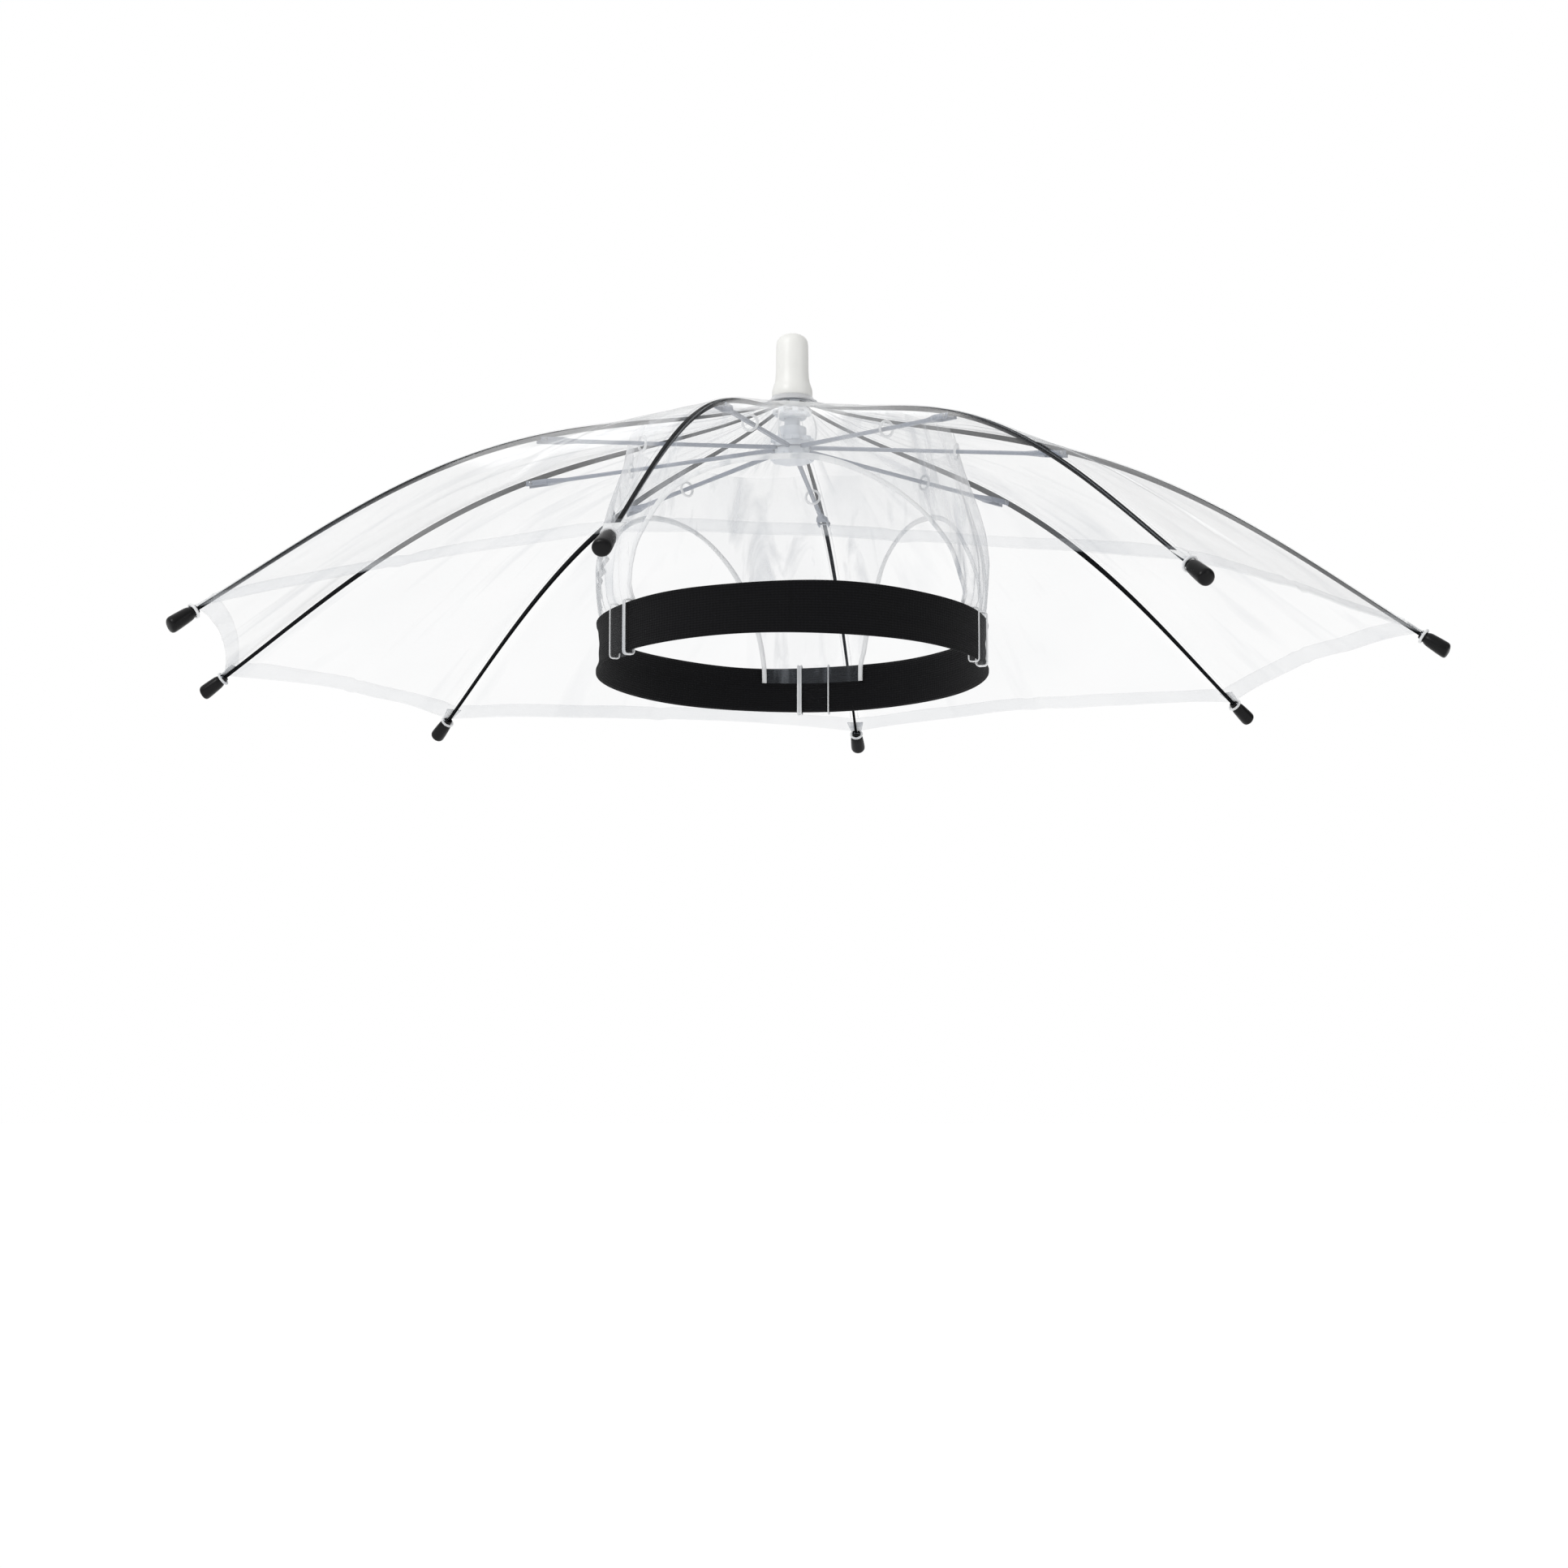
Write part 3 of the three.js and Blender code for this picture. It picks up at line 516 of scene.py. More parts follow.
# %% [markdown]
# The rim is turned up and welded in a band 7 mm wide, so the film is double there and looks whiter, with a
# fine bead at each of its edges. The panels overlap along each rib in a welded seam about 5 mm wide. The film is
# as clear there as beside it, and only the seam's two edges show, as pale beads beside the dark rib.

# %% Rim hem and panel seams
hem_grid = film_panels(np.linspace(1 - HEM_WIDTH / RIM_RADIUS, 1.0, 7))
bead = np.outer([0.9, 0.45, 0.35, 0.35, 0.35, 0.5, 0.9], UP)
hem_sections = np.concatenate([hem_grid + bead, (hem_grid - bead * 0.6)[:, ::-1]], axis=1)
hem = make_piece("canopy_rim_hem", skin(hem_sections, ring=True, closed=True), hem_pvc)

SEAM_FROM, SEAM_TO = 1.7, 2.5
SEAM_PROFILE = np.array([0.2, 0.5, 0.2, -0.1])
seam_shares = np.linspace(0.045, 0.972, 90)
near, far = SEAM_FROM / (PANEL_CHORD * seam_shares), SEAM_TO / (PANEL_CHORD * seam_shares)
seams = []
for rib in range(8):
    for panel, edges in ((rib, (near, far)), ((rib - 1) % 8, (1 - near, 1 - far))):
        near_edge, far_edge = [canopy_point(panel, edge, seam_shares) for edge in edges]
        middle = lerp(near_edge, far_edge, 0.5)
        sections = np.stack([near_edge, middle, far_edge, middle], axis=1)
        sections[:, :, 2] += SEAM_PROFILE - film_depth(seam_shares)[:, None]
        seams.append(bar(sections))
seam = make_piece("canopy_panel_seams", joined(seams), hem_pvc)
print("canopy quads:", pieces_made["canopy_film"], "hem:", pieces_made["canopy_rim_hem"])

# %% [markdown]
# ## The ribs
# Each rib is a strip of steel pressed to a channel that is open below, which makes so thin a strip stiff. It is
# slimmer at both ends, and its tip goes into the cap. Its corners are rolled, and a groove runs down its back.

# %% Ribs
RIB_DEPTH, SLIDE_GAP = 2.2, 0.6
RIB_ROOT_SHARE, RIB_TIP_SHARE, NOTCH_RADIUS, RIB_IN_CAP = 0.62, 0.7, 6.5, 8.0
rib_outline = rounded([(-0.7, 1.1), (-0.2, 1.1), (0, 0.92), (0.2, 1.1), (0.7, 1.1), (0.98, -1.1), (0.55, -1.1),
                       (0.25, 0.45), (-0.25, 0.45), (-0.55, -1.1), (-0.98, -1.1)], 0.22, 3)
rib_start = (NOTCH_RADIUS + 0.35 + RIB_DEPTH / 2) / RIM_RADIUS


def rib_scale(share):
    """The strip is slimmer at the hub, where it only has to fit its slot, and towards the tip"""
    root = lerp(RIB_ROOT_SHARE, 1, smoothstep(share, 0.08, 0.42))
    return root * lerp(1, RIB_TIP_SHARE, smoothstep(share, 0.5, 1))


for rib in range(8):
    sections = []
    for share in np.linspace(rib_start, 1, 64):
        scale = rib_scale(share)
        middle, along, up, side = rib_frame(rib, share, FILM_WALL + SLIDE_GAP + RIB_DEPTH * scale / 2)
        sections.append(np.array([middle + x * scale * side + y * scale * up for x, y in rib_outline]))
    tip = sections[-1]
    sections += [tip + along * RIB_IN_CAP * 0.5, tip + along * RIB_IN_CAP]
    make_piece(f"rib_steel_{rib + 1}", bar(sections), black_lacquer,
               f"rib_{rib + 1}", crisp=50)
print("rib quads:", pieces_made["rib_steel_1"])

# %% [markdown]
# ## Caps, pins and eyelets
# A cap is a small black moulding that slips over the rib's end. It is a little flatter than wide, swells
# behind its root, and ends in a slanting rounded nose. At its root a clear eyelet round a steel pin holds the
# film's corner.

# %% Tip caps
CAP_RADIUS, CAP_FLAT, CAP_LENGTH = 3.75, 0.9, 14.5
cap_start = FILM_WALL * rib_slope(1.0) + 0.35
cap_rows = [(RIB_IN_CAP, 0.0), (RIB_IN_CAP, 1.4), (0.0, 1.5), (0.0, 2.05), (0.4, 2.2), (2.0, 2.25), (2.7, 2.6),
            (3.5, 3.05), (4.6, 3.3), (7.0, 3.5), (10.0, 3.68), (12.4, CAP_RADIUS), (13.4, 3.68), (13.95, 3.42),
            (14.25, 3.0), (14.42, 2.2), (CAP_LENGTH, 0.0)]


def along_rib_end(rib, points):
    """Points made along +Z, turned to lie along the end of a rib"""
    middle, along, up, side = rib_frame(rib, 1.0, FILM_WALL + SLIDE_GAP + RIB_DEPTH * RIB_TIP_SHARE / 2)
    points = np.asarray(points, float)
    return middle + points[:, :1] * side + points[:, 1:2] * up + (points[:, 2:] + cap_start) * along


turns = circle(40)
cap_sections = []
for place, radius in cap_rows:
    slant = 0.6 * smoothstep(place, 9, CAP_LENGTH) * (radius / CAP_RADIUS)
    cap_sections.append(np.c_[radius * np.cos(turns), radius * CAP_FLAT * np.sin(turns),
                              place - slant * (1 + np.sin(turns)) * 0.9])
cap_points, cap_faces = skin(cap_sections, closed=True)

turns = circle(28)
ring_path = np.c_[2.95 * np.cos(turns), 2.95 * np.sin(turns), np.full(28, 1.6)]
tab_rows = []
for t in np.linspace(0, 1, 7):
    back, low, wide = lerp(1.2, -7.0, t), 1.15 - 0.1 * t, lerp(2.6, 4.4, t) * np.linspace(-1, 1, 7)
    tab_rows.append([(x, low + 0.3, back) for x in wide] + [(x, low, back) for x in wide[::-1]])
PIN_PATH = [[-2.5, 0.2, 1.0], [-2.2, 0.2, 1.0], [2.2, 0.2, 1.0], [2.5, 0.2, 1.0]]

for rib in range(8):
    make_piece(f"cap_{rib + 1}", (along_rib_end(rib, cap_points), cap_faces), black_nylon,
               f"tip_cap_{rib + 1}", crisp=55)
    rib_along = along_rib_end(rib, [[0, 0, 1]]) - along_rib_end(rib, [[0, 0, 0]])
    ring = tube(along_rib_end(rib, ring_path), 0.62, 10, ring=True, up=rib_along)
    tab = bar([along_rib_end(rib, row) for row in tab_rows])
    make_piece(f"film_eyelet_{rib + 1}", joined([ring, tab]), edge_pvc, f"eyelet_{rib + 1}")
    pin = tube(along_rib_end(rib, PIN_PATH), [0.35, 0.6, 0.6, 0.35], 10)
    make_piece(f"cap_pin_{rib + 1}", pin, bright_wire)
print("cap quads:", pieces_made["cap_1"])

# %% [markdown]
# ## Knob, washer, pole and hub
# These are turned shapes, so each is an outline spun about the pole. The knob has a flared foot that comes down
# over the film's cone, and the soft washer under it fills what room is left. The notch and the runner hold
# ribs and stretchers in slots, so their flanges are drawn in there.

# %% Knob and washer
POLE_RADIUS, POLE_BORE, POLE_HOLE, TOUCH = 3.6, 2.2, 3.95, 0.35
KNOB_RADIUS, KNOB_FOOT, KNOB_BORE_DEPTH, WASHER_RADIUS, WASHER_THICK = 7.5, 9.25, 12.3, 11.5, 0.8


def heights_of(node):
    """The lowest and highest level of a solid"""
    low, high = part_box(node)
    return low.z / MM, high.z / MM


hole_level = rib_height(0.0, POLE_HOLE / (RIM_RADIUS * np.cos(np.radians(26.5))))
knob_level = hole_level + TOUCH + WASHER_THICK + TOUCH
knob_low, knob_high = heights_of("finial")
# Shares of the knob's height with shares of its radius, from the foot up
knob_rows = [(0.0, 1.24), (0.05, 1.235), (0.11, 1.17), (0.18, 1.08), (0.26, 1.03), (0.38, 1.0),
             (0.6, 0.995), (0.8, 0.985), (0.87, 0.95), (0.925, 0.86), (0.965, 0.7), (0.99, 0.48), (1.0, 0.22),
             (1.0, 0.0)]
knob_outline = [(0.0, knob_level + KNOB_BORE_DEPTH), (POLE_HOLE, knob_level + KNOB_BORE_DEPTH),
                (POLE_HOLE, knob_level), (8.7, knob_low + 0.1), (9.0, knob_low), (KNOB_FOOT, knob_low + 0.3)]
knob_outline += [(KNOB_RADIUS * size, lerp(knob_level, knob_high, height)) for height, size in knob_rows]
make_piece("finial_knob", turned(knob_outline, 72), white_abs, "finial", crisp=60)

washer_radii = np.linspace(POLE_HOLE, WASHER_RADIUS, 12)
film_top = rib_height(0.0, washer_radii / RIM_RADIUS)
foot_under = np.interp(washer_radii, [POLE_HOLE, KNOB_FOOT], [knob_level, knob_low])
washer_top = lerp(foot_under - 0.1, film_top + 0.4, smoothstep(washer_radii, 9.3, 10.2))
washer_rows = np.r_[np.c_[washer_radii, film_top - 0.3], np.c_[washer_radii, washer_top][::-1]]
make_piece("film_washer", turned(washer_rows, 64), soft_washer_pvc, "top_washer")
print("knob from", round(knob_low, 1), "to", round(knob_high, 1))

# %% Hub parts with slots
SLOT_HALF, HUB_SIDES = 1.9, 320
FLANGE_RADIUS, RUNNER_NECK, RUNNER_RADIUS = 9.0, 8.0, 10.0
RUNNER_SEAT, RUNNER_FLANGE, RUNNER_TOP = 91.0, 97.0, 104.0


def slotted(rows, slot_radius):
    """A turned outline of (radius, height) whose radius is drawn in to slot_radius at each rib"""
    turns = np.arange(HUB_SIDES) * 360 / HUB_SIDES
    away = np.min([np.abs((turns - azimuth + 180) % 360 - 180) for azimuth, lift in RIBS], axis=0)
    sections = []
    for turn, off in zip(turns, away):
        column = []
        for radius, height in rows:
            half = np.degrees(np.arcsin(min(1, SLOT_HALF / max(radius, SLOT_HALF))))
            open_share = smoothstep(off, half - 1.5, half + 1.5)
            drawn = radius if radius <= slot_radius else lerp(slot_radius, radius, open_share)
            column.append(outward(turn) * drawn + UP * height)
        sections.append(column)
    return skin(sections, ring=True, closed=rows[0][0] > 0)


notch_low, notch_high = heights_of("top_notch")
flange_share = FLANGE_RADIUS / RIM_RADIUS
flange_high = rib_height(0, flange_share) - np.hypot(1, rib_slope(flange_share)) - RIB_DEPTH - 1.2
notch_rows = [(POLE_HOLE, notch_low), (6.2, notch_low), (NOTCH_RADIUS, notch_low + 0.3),
              (NOTCH_RADIUS, flange_high - 2.6), (8.6, flange_high - 2.2), (FLANGE_RADIUS, flange_high - 1.9),
              (FLANGE_RADIUS, flange_high - 0.2), (8.8, flange_high), (NOTCH_RADIUS, flange_high),
              (NOTCH_RADIUS, notch_high - 0.3), (6.2, notch_high), (POLE_HOLE, notch_high)]
make_piece("notch_hub", slotted(notch_rows, 7.0), frosted_pp, "top_notch", crisp=35)

runner_low = heights_of("runner")[0]
runner_rows = [(0.0, runner_low), (9.2, runner_low), (RUNNER_RADIUS, runner_low + 0.7),
               (RUNNER_RADIUS, RUNNER_SEAT - 0.6), (9.8, RUNNER_SEAT), (RUNNER_NECK, RUNNER_SEAT),
               (RUNNER_NECK, RUNNER_FLANGE), (9.8, RUNNER_FLANGE), (RUNNER_RADIUS, RUNNER_FLANGE + 0.3),
               (RUNNER_RADIUS, RUNNER_FLANGE + 1.7), (9.7, RUNNER_FLANGE + 2), (NOTCH_RADIUS, RUNNER_FLANGE + 2),
               (NOTCH_RADIUS, RUNNER_TOP - 0.4), (6.2, RUNNER_TOP), (POLE_HOLE, RUNNER_TOP),
               (POLE_HOLE, RUNNER_SEAT), (0.0, RUNNER_SEAT)]
make_piece("runner_hub", slotted(runner_rows, 8.6), frosted_pp, "runner", crisp=35)

pole_low, pole_high = heights_of("pole")
pole_outline = rounded([(POLE_BORE, pole_low), (POLE_RADIUS, pole_low), (POLE_RADIUS, pole_high),
                        (POLE_BORE, pole_high)], 0.3)
make_piece("pole_tube", turned(pole_outline, 48), frosted_pp, "pole")

# %% [markdown]
# The notch and the runner are closed by a ring of wire that threads the ends of the ribs and of the
# stretchers. It shows as a bluish line through the milky plastic. The film is tied to the notch with a strip of
# itself, and the strip's two ends hang down in front of the runner.

# %% Hub wires
STRETCHER_LEVEL, TIE_ROOT = 94.0, 8.6
wires = [tube(outward(np.arange(72) * 5.0) * radius + UP * level, 0.4, ring=True)
         for radius, level in ((7.6, flange_high - 1.1), (9.0, STRETCHER_LEVEL))]
make_piece("hub_wires", joined(wires), bright_wire)

ties = []
for azimuth, reach, hang in ((-38, 11.0, 15.0), (50, 13.5, 17.0)):
    along_tie = np.linspace(0, 1, 14)
    path = [outward(azimuth + 9 * t * t) * (TIE_ROOT + (reach - TIE_ROOT) * np.sin(np.pi * t * 0.8))
            + UP * (flange_high - 1.0 - hang * t ** 1.3) for t in along_tie]
    ties.append(tube(path, 0.55 * (1 - 0.3 * along_tie), squash=0.5, up=outward(azimuth)))
make_piece("film_tie_ends", joined(ties), edge_pvc)
print("hub quads:", pieces_made["notch_hub"] + pieces_made["runner_hub"])

# %% [markdown]
# ## The stretchers
# Each stretcher is a flat moulded bar whose fork takes the rib between its tines, with a rivet through both.
# The mould leaves rounded edges and a shallow channel along the bar, so the bar is lofted from rounded
# sections, and the tines are two small bars beside the rib.

# %% Stretchers
JOINT_RADIUS, FORK_SLOT, FORK_LIP, FORK_DROP = 127.0, 10.0, 2.0, 1.7
TINE, TINE_HALF_HEIGHT, TINE_FROM = 0.9, 1.2, 1.85
# How far out along the rivet from the bar's middle, with its radius there
RIVET_ROWS = [(-3.2, 0.4), (-3.0, 0.95), (-2.75, 1.0), (-2.75, 0.5),
              (2.75, 0.5), (2.75, 1.0), (3.0, 0.95), (3.2, 0.4)]


def stretcher_line(rib):
    """A stretcher's ends at the runner and at the rib, with the directions along it and sideways"""
    joint, along, up, side = rib_frame(rib, JOINT_RADIUS / RIM_RADIUS, FILM_WALL + SLIDE_GAP + RIB_DEPTH / 2)
    joint = joint - UP * FORK_DROP
    root = outward(RIBS[rib][0]) * (RUNNER_NECK + TOUCH) + UP * STRETCHER_LEVEL
    return root, joint, unit(joint - root), side


def bar_section(middle, side, up, half_width, half_height, groove=0.0):
    """A rounded section with a shallow groove on top"""
    corners = rounded([(-half_width, -half_height), (half_width, -half_height), (half_width, half_height),
                       (half_width * 0.35, half_height - groove), (-half_width * 0.35, half_height - groove),
                       (-half_width, half_height)], 0.45, 3)
    return [middle + x * side + y * up for x, y in corners]


for rib in range(8):
    root, joint, along, side = stretcher_line(rib)
    length = np.linalg.norm(joint - root) + FORK_LIP
    up = np.cross(along, side)
    up = up if up[2] > 0 else -up
    fork = length - FORK_SLOT
    body = [(0.0, 0.8, 0.8), (1.2, 1.0, 1.0), (fork * 0.5, 0.9, 0.85), (fork - 9, 1.0, 0.9), (fork - 4, 1.9, 1.1),
            (fork - 1.5, 2.6, 1.2), (fork, 2.75, 1.2)]
    parts = [bar([bar_section(root + along * at, side, up, half, high, 0.3 if 1 < at < fork - 4 else 0.05)
                  for at, half, high in body])]
    tine = [(fork - 0.6, TINE / 2), (fork + 2, TINE / 2), (length - 1.2, TINE / 2), (length - 0.1, TINE * 0.3)]
    for sign in (-1, 1):
        beside = root + side * sign * (TINE_FROM + TINE / 2)
        parts.append(bar([bar_section(beside + along * at, side, up, half, TINE_HALF_HEIGHT) for at, half in tine]))
    make_piece(f"stretcher_bar_{rib + 1}", joined(parts), smoke_pc, f"stretcher_{rib + 1}",
               crisp=45)
    rivet = tube([joint + UP * 0.2 + side * at for at, radius in RIVET_ROWS],
                 [radius for at, radius in RIVET_ROWS], 14)
    make_piece(f"fork_rivet_{rib + 1}", rivet, bright_wire)
print("stretcher length:", round(float(length), 1), "mm")

# %% [markdown]
# ## The headband
# The band is a flat elastic stretched round an oval. Its edges curl outward a little, most at the sides of the
# oval, and a stretched elastic is never quite level, so it waves by half a millimetre.

# %% Headband
BAND_HALF_WIDTH, BAND_DEPTH_SHARE, BAND_HEIGHT, BAND_THICK = 89.0, 1.11, 22.0, 1.5
BAND_TILT, BAND_CURL, BAND_EDGE_ROUND = 2.5, 1.0, 0.55


def oval_point(azimuth, half_width, depth_share=BAND_DEPTH_SHARE):
    point = outward(azimuth) * half_width
    point[..., 1] *= depth_share
    return point


def oval_normal(azimuth):
    return unit(outward(azimuth) * np.array([BAND_DEPTH_SHARE, 1, 0]))


def band_lift(point):
    return -point[..., 1] * np.tan(np.radians(BAND_TILT))


heights = np.linspace(-1, 1, 23)
edge_round = BAND_EDGE_ROUND * (np.abs(heights) > 0.97)
band_sections, band_places, travelled, previous = [], [], 0.0, None
for azimuth in np.arange(0, 360, 1.25):
    edge = oval_point(azimuth, BAND_HALF_WIDTH - BAND_CURL)
    travelled += 0.0 if previous is None else np.linalg.norm(edge - previous)
    previous = edge
    curl = BAND_CURL * (1 + 0.9 * abs(np.sin(np.radians(azimuth))) ** 6)
    wave = 0.45 * np.sin(np.radians(3 * azimuth + 40)) + 0.25 * np.sin(np.radians(7 * azimuth))
    out = curl * np.abs(heights) ** 4 + 0.12 * np.sin(9 * heights + np.radians(2 * azimuth))
    level = (BAND_HEIGHT / 2 + wave * 0.6) * heights + band_lift(edge) + 0.25 * wave
    outer, inner = [edge + np.outer(away, oval_normal(azimuth)) + np.outer(level, UP)
                    for away in (out - edge_round, out - BAND_THICK + edge_round)]
    band_sections.append(np.r_[outer, inner[::-1]])
    band_places += [(travelled, h * BAND_HEIGHT / 2, 0.0) for h in heights]
    band_places += [(travelled, h * BAND_HEIGHT / 2, 9.0) for h in heights[::-1]]
band = make_piece("woven_headband", skin(band_sections, ring=True, closed=True), woven_elastic,
                  "headband", face_out=False)
mark(band, "band_mm", band_places, vectors=True)
print("band is", round(travelled), "mm round")

# %% [markdown]
# ## The inner skirt
# The skirt is a sleeve of the canopy's film. It hangs just under the canopy, is cut into three arches, and its
# three legs are gathered into loops round the band. The gathers make pleats, which fade upward. It is a grid of
# columns round the pole, with faces left out where a stretcher or a rib passes through. Two of the legs stand a
# few degrees round the band from where the solid has them.

# %% Skirt surface
SKIRT_TOP_SHARE, SKIRT_TUCK, ARCH_TOP, SEAM_GAP, LOOP_GAP = 0.85, 8.0, 72.0, 0.8, 0.6
# Each leg's first and last azimuth, its loop's azimuth, and how full the arches before and after it are
LEGS = [(-92, -54, -58.5, 2.2, 2.8), (62, 99, 70, 1.6, 2.2), (157, 189, 173, 2.2, 2.2)]
# Shares of the skirt's height with shares of the band's half width
SKIRT_OUTLINE = np.array([(0, 1 - (BAND_CURL + BAND_THICK + LOOP_GAP) / BAND_HALF_WIDTH), (0.07, 0.993),
                          (0.17, 1.004), (0.3, 1.005), (0.45, 0.984), (0.6, 0.948), (0.8, 0.892), (1, 0.85)])


def canopy_underside(azimuth, radius):
    """The height of the canopy's underside above a point well inside the rim"""
    from_first = (azimuth - RIBS[0][0]) % 360
    index = 0
    while index < 7 and RIBS[index + 1][0] - RIBS[0][0] <= from_first:
        index += 1
    lift_a, lift_b = RIBS[index][1], RIBS[(index + 1) % 8][1]
    span = (RIBS[(index + 1) % 8][0] - RIBS[index][0]) % 360
    turn = from_first - (RIBS[index][0] - RIBS[0][0])
    chord = np.cos(np.radians(span / 2)) / np.cos(np.radians(turn - span / 2))
    share = radius / (RIM_RADIUS * chord)
    to_b = np.sin(np.radians(turn))
    part = to_b / (to_b + np.sin(np.radians(span - turn)))
    level = lerp(rib_height(lift_a, share), rib_height(lift_b, share), part)
    return level - PANEL_SAG * bow(part) * share * (1 - share ** 3) - np.hypot(1, rib_slope(share))


def band_top(azimuth):
    return BAND_HEIGHT / 2 + band_lift(oval_point(azimuth, BAND_HALF_WIDTH))


def skirt_top(azimuth):
    rim = oval_point(azimuth, BAND_HALF_WIDTH * SKIRT_TOP_SHARE, 1.0)
    compass = np.degrees(np.arctan2(rim[0], -rim[1]))
    return canopy_underside(compass, np.hypot(rim[0], rim[1])) - SEAM_GAP


def leg_weight(azimuth):
    """How near an azimuth is to a leg, 1 inside it, and the leg's middle"""
    best = (0.0, 0.0)
    for start, end, *rest in LEGS:
        middle = (start + end) / 2
        away = abs((azimuth - middle + 180) % 360 - 180) - (end - start) / 2
        best = max(best, (1 - float(smoothstep(away, 0, 16)), middle), key=lambda leg: leg[0])
    return best


def skirt_point(azimuth, level):
    """A point of the skirt's outer side with its pleats"""
    low, high = band_top(azimuth), skirt_top(azimuth)
    height = float(np.clip((level - low) / (high - low), 0, 1))
    weight, middle = leg_weight(azimuth)
    phase = (azimuth - middle) / (13 * (1 + 0.8 * height))
    # Pleats in the legs, sharper puckers just above the band, and slack between the legs
    fold = 1.9 * weight * np.sin(np.pi * height) ** 2 * np.cos(2 * np.pi * phase)
    fold += (0.9 * weight * np.exp(-height * 3.2) * smoothstep(height, 0.0, 0.08)
             * np.cos(2 * np.pi * 2.7 * phase + 1))
    fold += 0.5 * np.sin(np.radians(azimuth * 9 + 40 * height)) * smoothstep(height, 0.2, 0.6) * (1 - height)
    size = np.interp(height, SKIRT_OUTLINE[:, 0], SKIRT_OUTLINE[:, 1])
    point = oval_point(azimuth, BAND_HALF_WIDTH * size, lerp(BAND_DEPTH_SHARE, 1, height))
    point = point + oval_normal(azimuth) * (fold - FILM_WALL / 2)
    point[2] = level
    return point


def arch_rise(share, full_from, full_to):
    """The arch's height for a share of the way across it, 0 at its feet and 1 at its top"""
    fullness = full_from if share < 0.5 else full_to
    return (1 - abs(2 * share - 1) ** fullness) ** (1 / fullness)


SKIRT_ROWS, COLUMN_DEGREES, ARCH_COLUMNS = 44, 0.8, 84
skirt_columns, lower_edges = [], []
for index, (start, end, loop_at, full_before, full_after) in enumerate(LEGS):
    for azimuth in np.linspace(start, end, int((end - start) / COLUMN_DEGREES)):
        skirt_columns.append((azimuth, band_top(azimuth) - SKIRT_TUCK))
    following = LEGS[(index + 1) % 3]
    stop = following[0] if following[0] > end else following[0] + 360
    arch = []
    for share in (1 - np.cos(np.pi * np.linspace(0, 1, ARCH_COLUMNS))) / 2:
        azimuth = lerp(end, stop, share)
        foot = band_top(azimuth) - SKIRT_TUCK
        arch.append((azimuth, lerp(foot, ARCH_TOP, arch_rise(share, full_after, following[3]))))
    lower_edges.append(arch)
    skirt_columns += arch[1:-1]
skirt_grid = [[skirt_point(azimuth, lerp(lowest, skirt_top(azimuth), row)) for row in np.linspace(0, 1, SKIRT_ROWS)]
              for azimuth, lowest in skirt_columns]
skirt_points, skirt_faces = skin(skirt_grid, ring=True)

# %% Openings for stretchers and ribs
STRETCHER_HOLE, RIB_HOLE, RIB_BELOW = 2.7, 2.3, 2.9
RIB_FROM, RIB_TO = 60 / RIM_RADIUS, 95 / RIM_RADIUS


def near_line(points, start, end, distance):
    """Which points lie nearer than that to the line from start to end"""
    line = end - start
    t = np.clip(((points - start) @ line) / (line @ line), 0, 1)
    return np.linalg.norm(points - (start + t[:, None] * line), axis=1) < distance


centres = skirt_points[np.array(skirt_faces)].mean(axis=1)
open_here = np.zeros(len(centres), bool)
passages = []
for rib in range(8):
    root, joint, along, side = stretcher_line(rib)
    open_here |= near_line(centres, root, joint, STRETCHER_HOLE)
    rib_in, rib_out = [rib_frame(rib, share, RIB_BELOW)[0] for share in (RIB_FROM, RIB_TO)]
    open_here |= near_line(centres, rib_in, rib_out, RIB_HOLE)
    away = np.linalg.norm(np.cross(skirt_points - root, along), axis=1)
    away[(skirt_points - root) @ along < 0] = 1e9
    passages.append(skirt_points[np.argmin(away)])
skirt_faces = [face for face, gone in zip(skirt_faces, open_here) if not gone]
skirt = make_piece("skirt_film", (skirt_points, skirt_faces), skirt_pvc, "inner_skirt",
                   face_out=False)
print("skirt columns:", len(skirt_columns), "faces left out:", int(open_here.sum()))

# %% [markdown]
# The cut edge of each arch is rolled and welded to a rib of film up to 2.8 mm wide, which catches the light
# and is the brightest line of the hat. Small film rings keep the stretchers' holes from tearing.

# %% Arch hems and passage rings
RING_RADIUS, RING_WIRE = 3.4, 0.6
arch_parts = []
for arch in lower_edges:
    path = [skirt_point(azimuth, level) for azimuth, level in arch]
    normals = np.array([oval_normal(azimuth) for azimuth, level in arch])
    half_width = 1.4 * (0.8 + 0.2 * np.sin(np.linspace(0, 9, len(arch))) ** 2)
    arch_parts.append(tube(path, half_width, 10, squash=0.6, up=normals))
arch_hems = make_piece("skirt_arch_hems", joined(arch_parts), edge_pvc)

ring_parts = []
for rib, passage in enumerate(passages):
    root, joint, along, side = stretcher_line(rib)
    middle = root + along * ((passage - root) @ along)
    turns = circle(24)
    path = middle + RING_RADIUS * (np.outer(np.cos(turns), side) + np.outer(np.sin(turns), np.cross(along, side)))
    ring_parts.append(tube(path, RING_WIRE, ring=True, up=along))
passage_rings = make_piece("stretcher_passage_rings", joined(ring_parts), edge_pvc)

# %% [markdown]
# ## Loops round the band
# Each leg ends in a strip of film, folded round the band and welded to itself beside one edge. The strip is
# clear, but its cut edges and the weld's rim show as white lines on the black elastic, and the weld between them
# as a milky stripe.

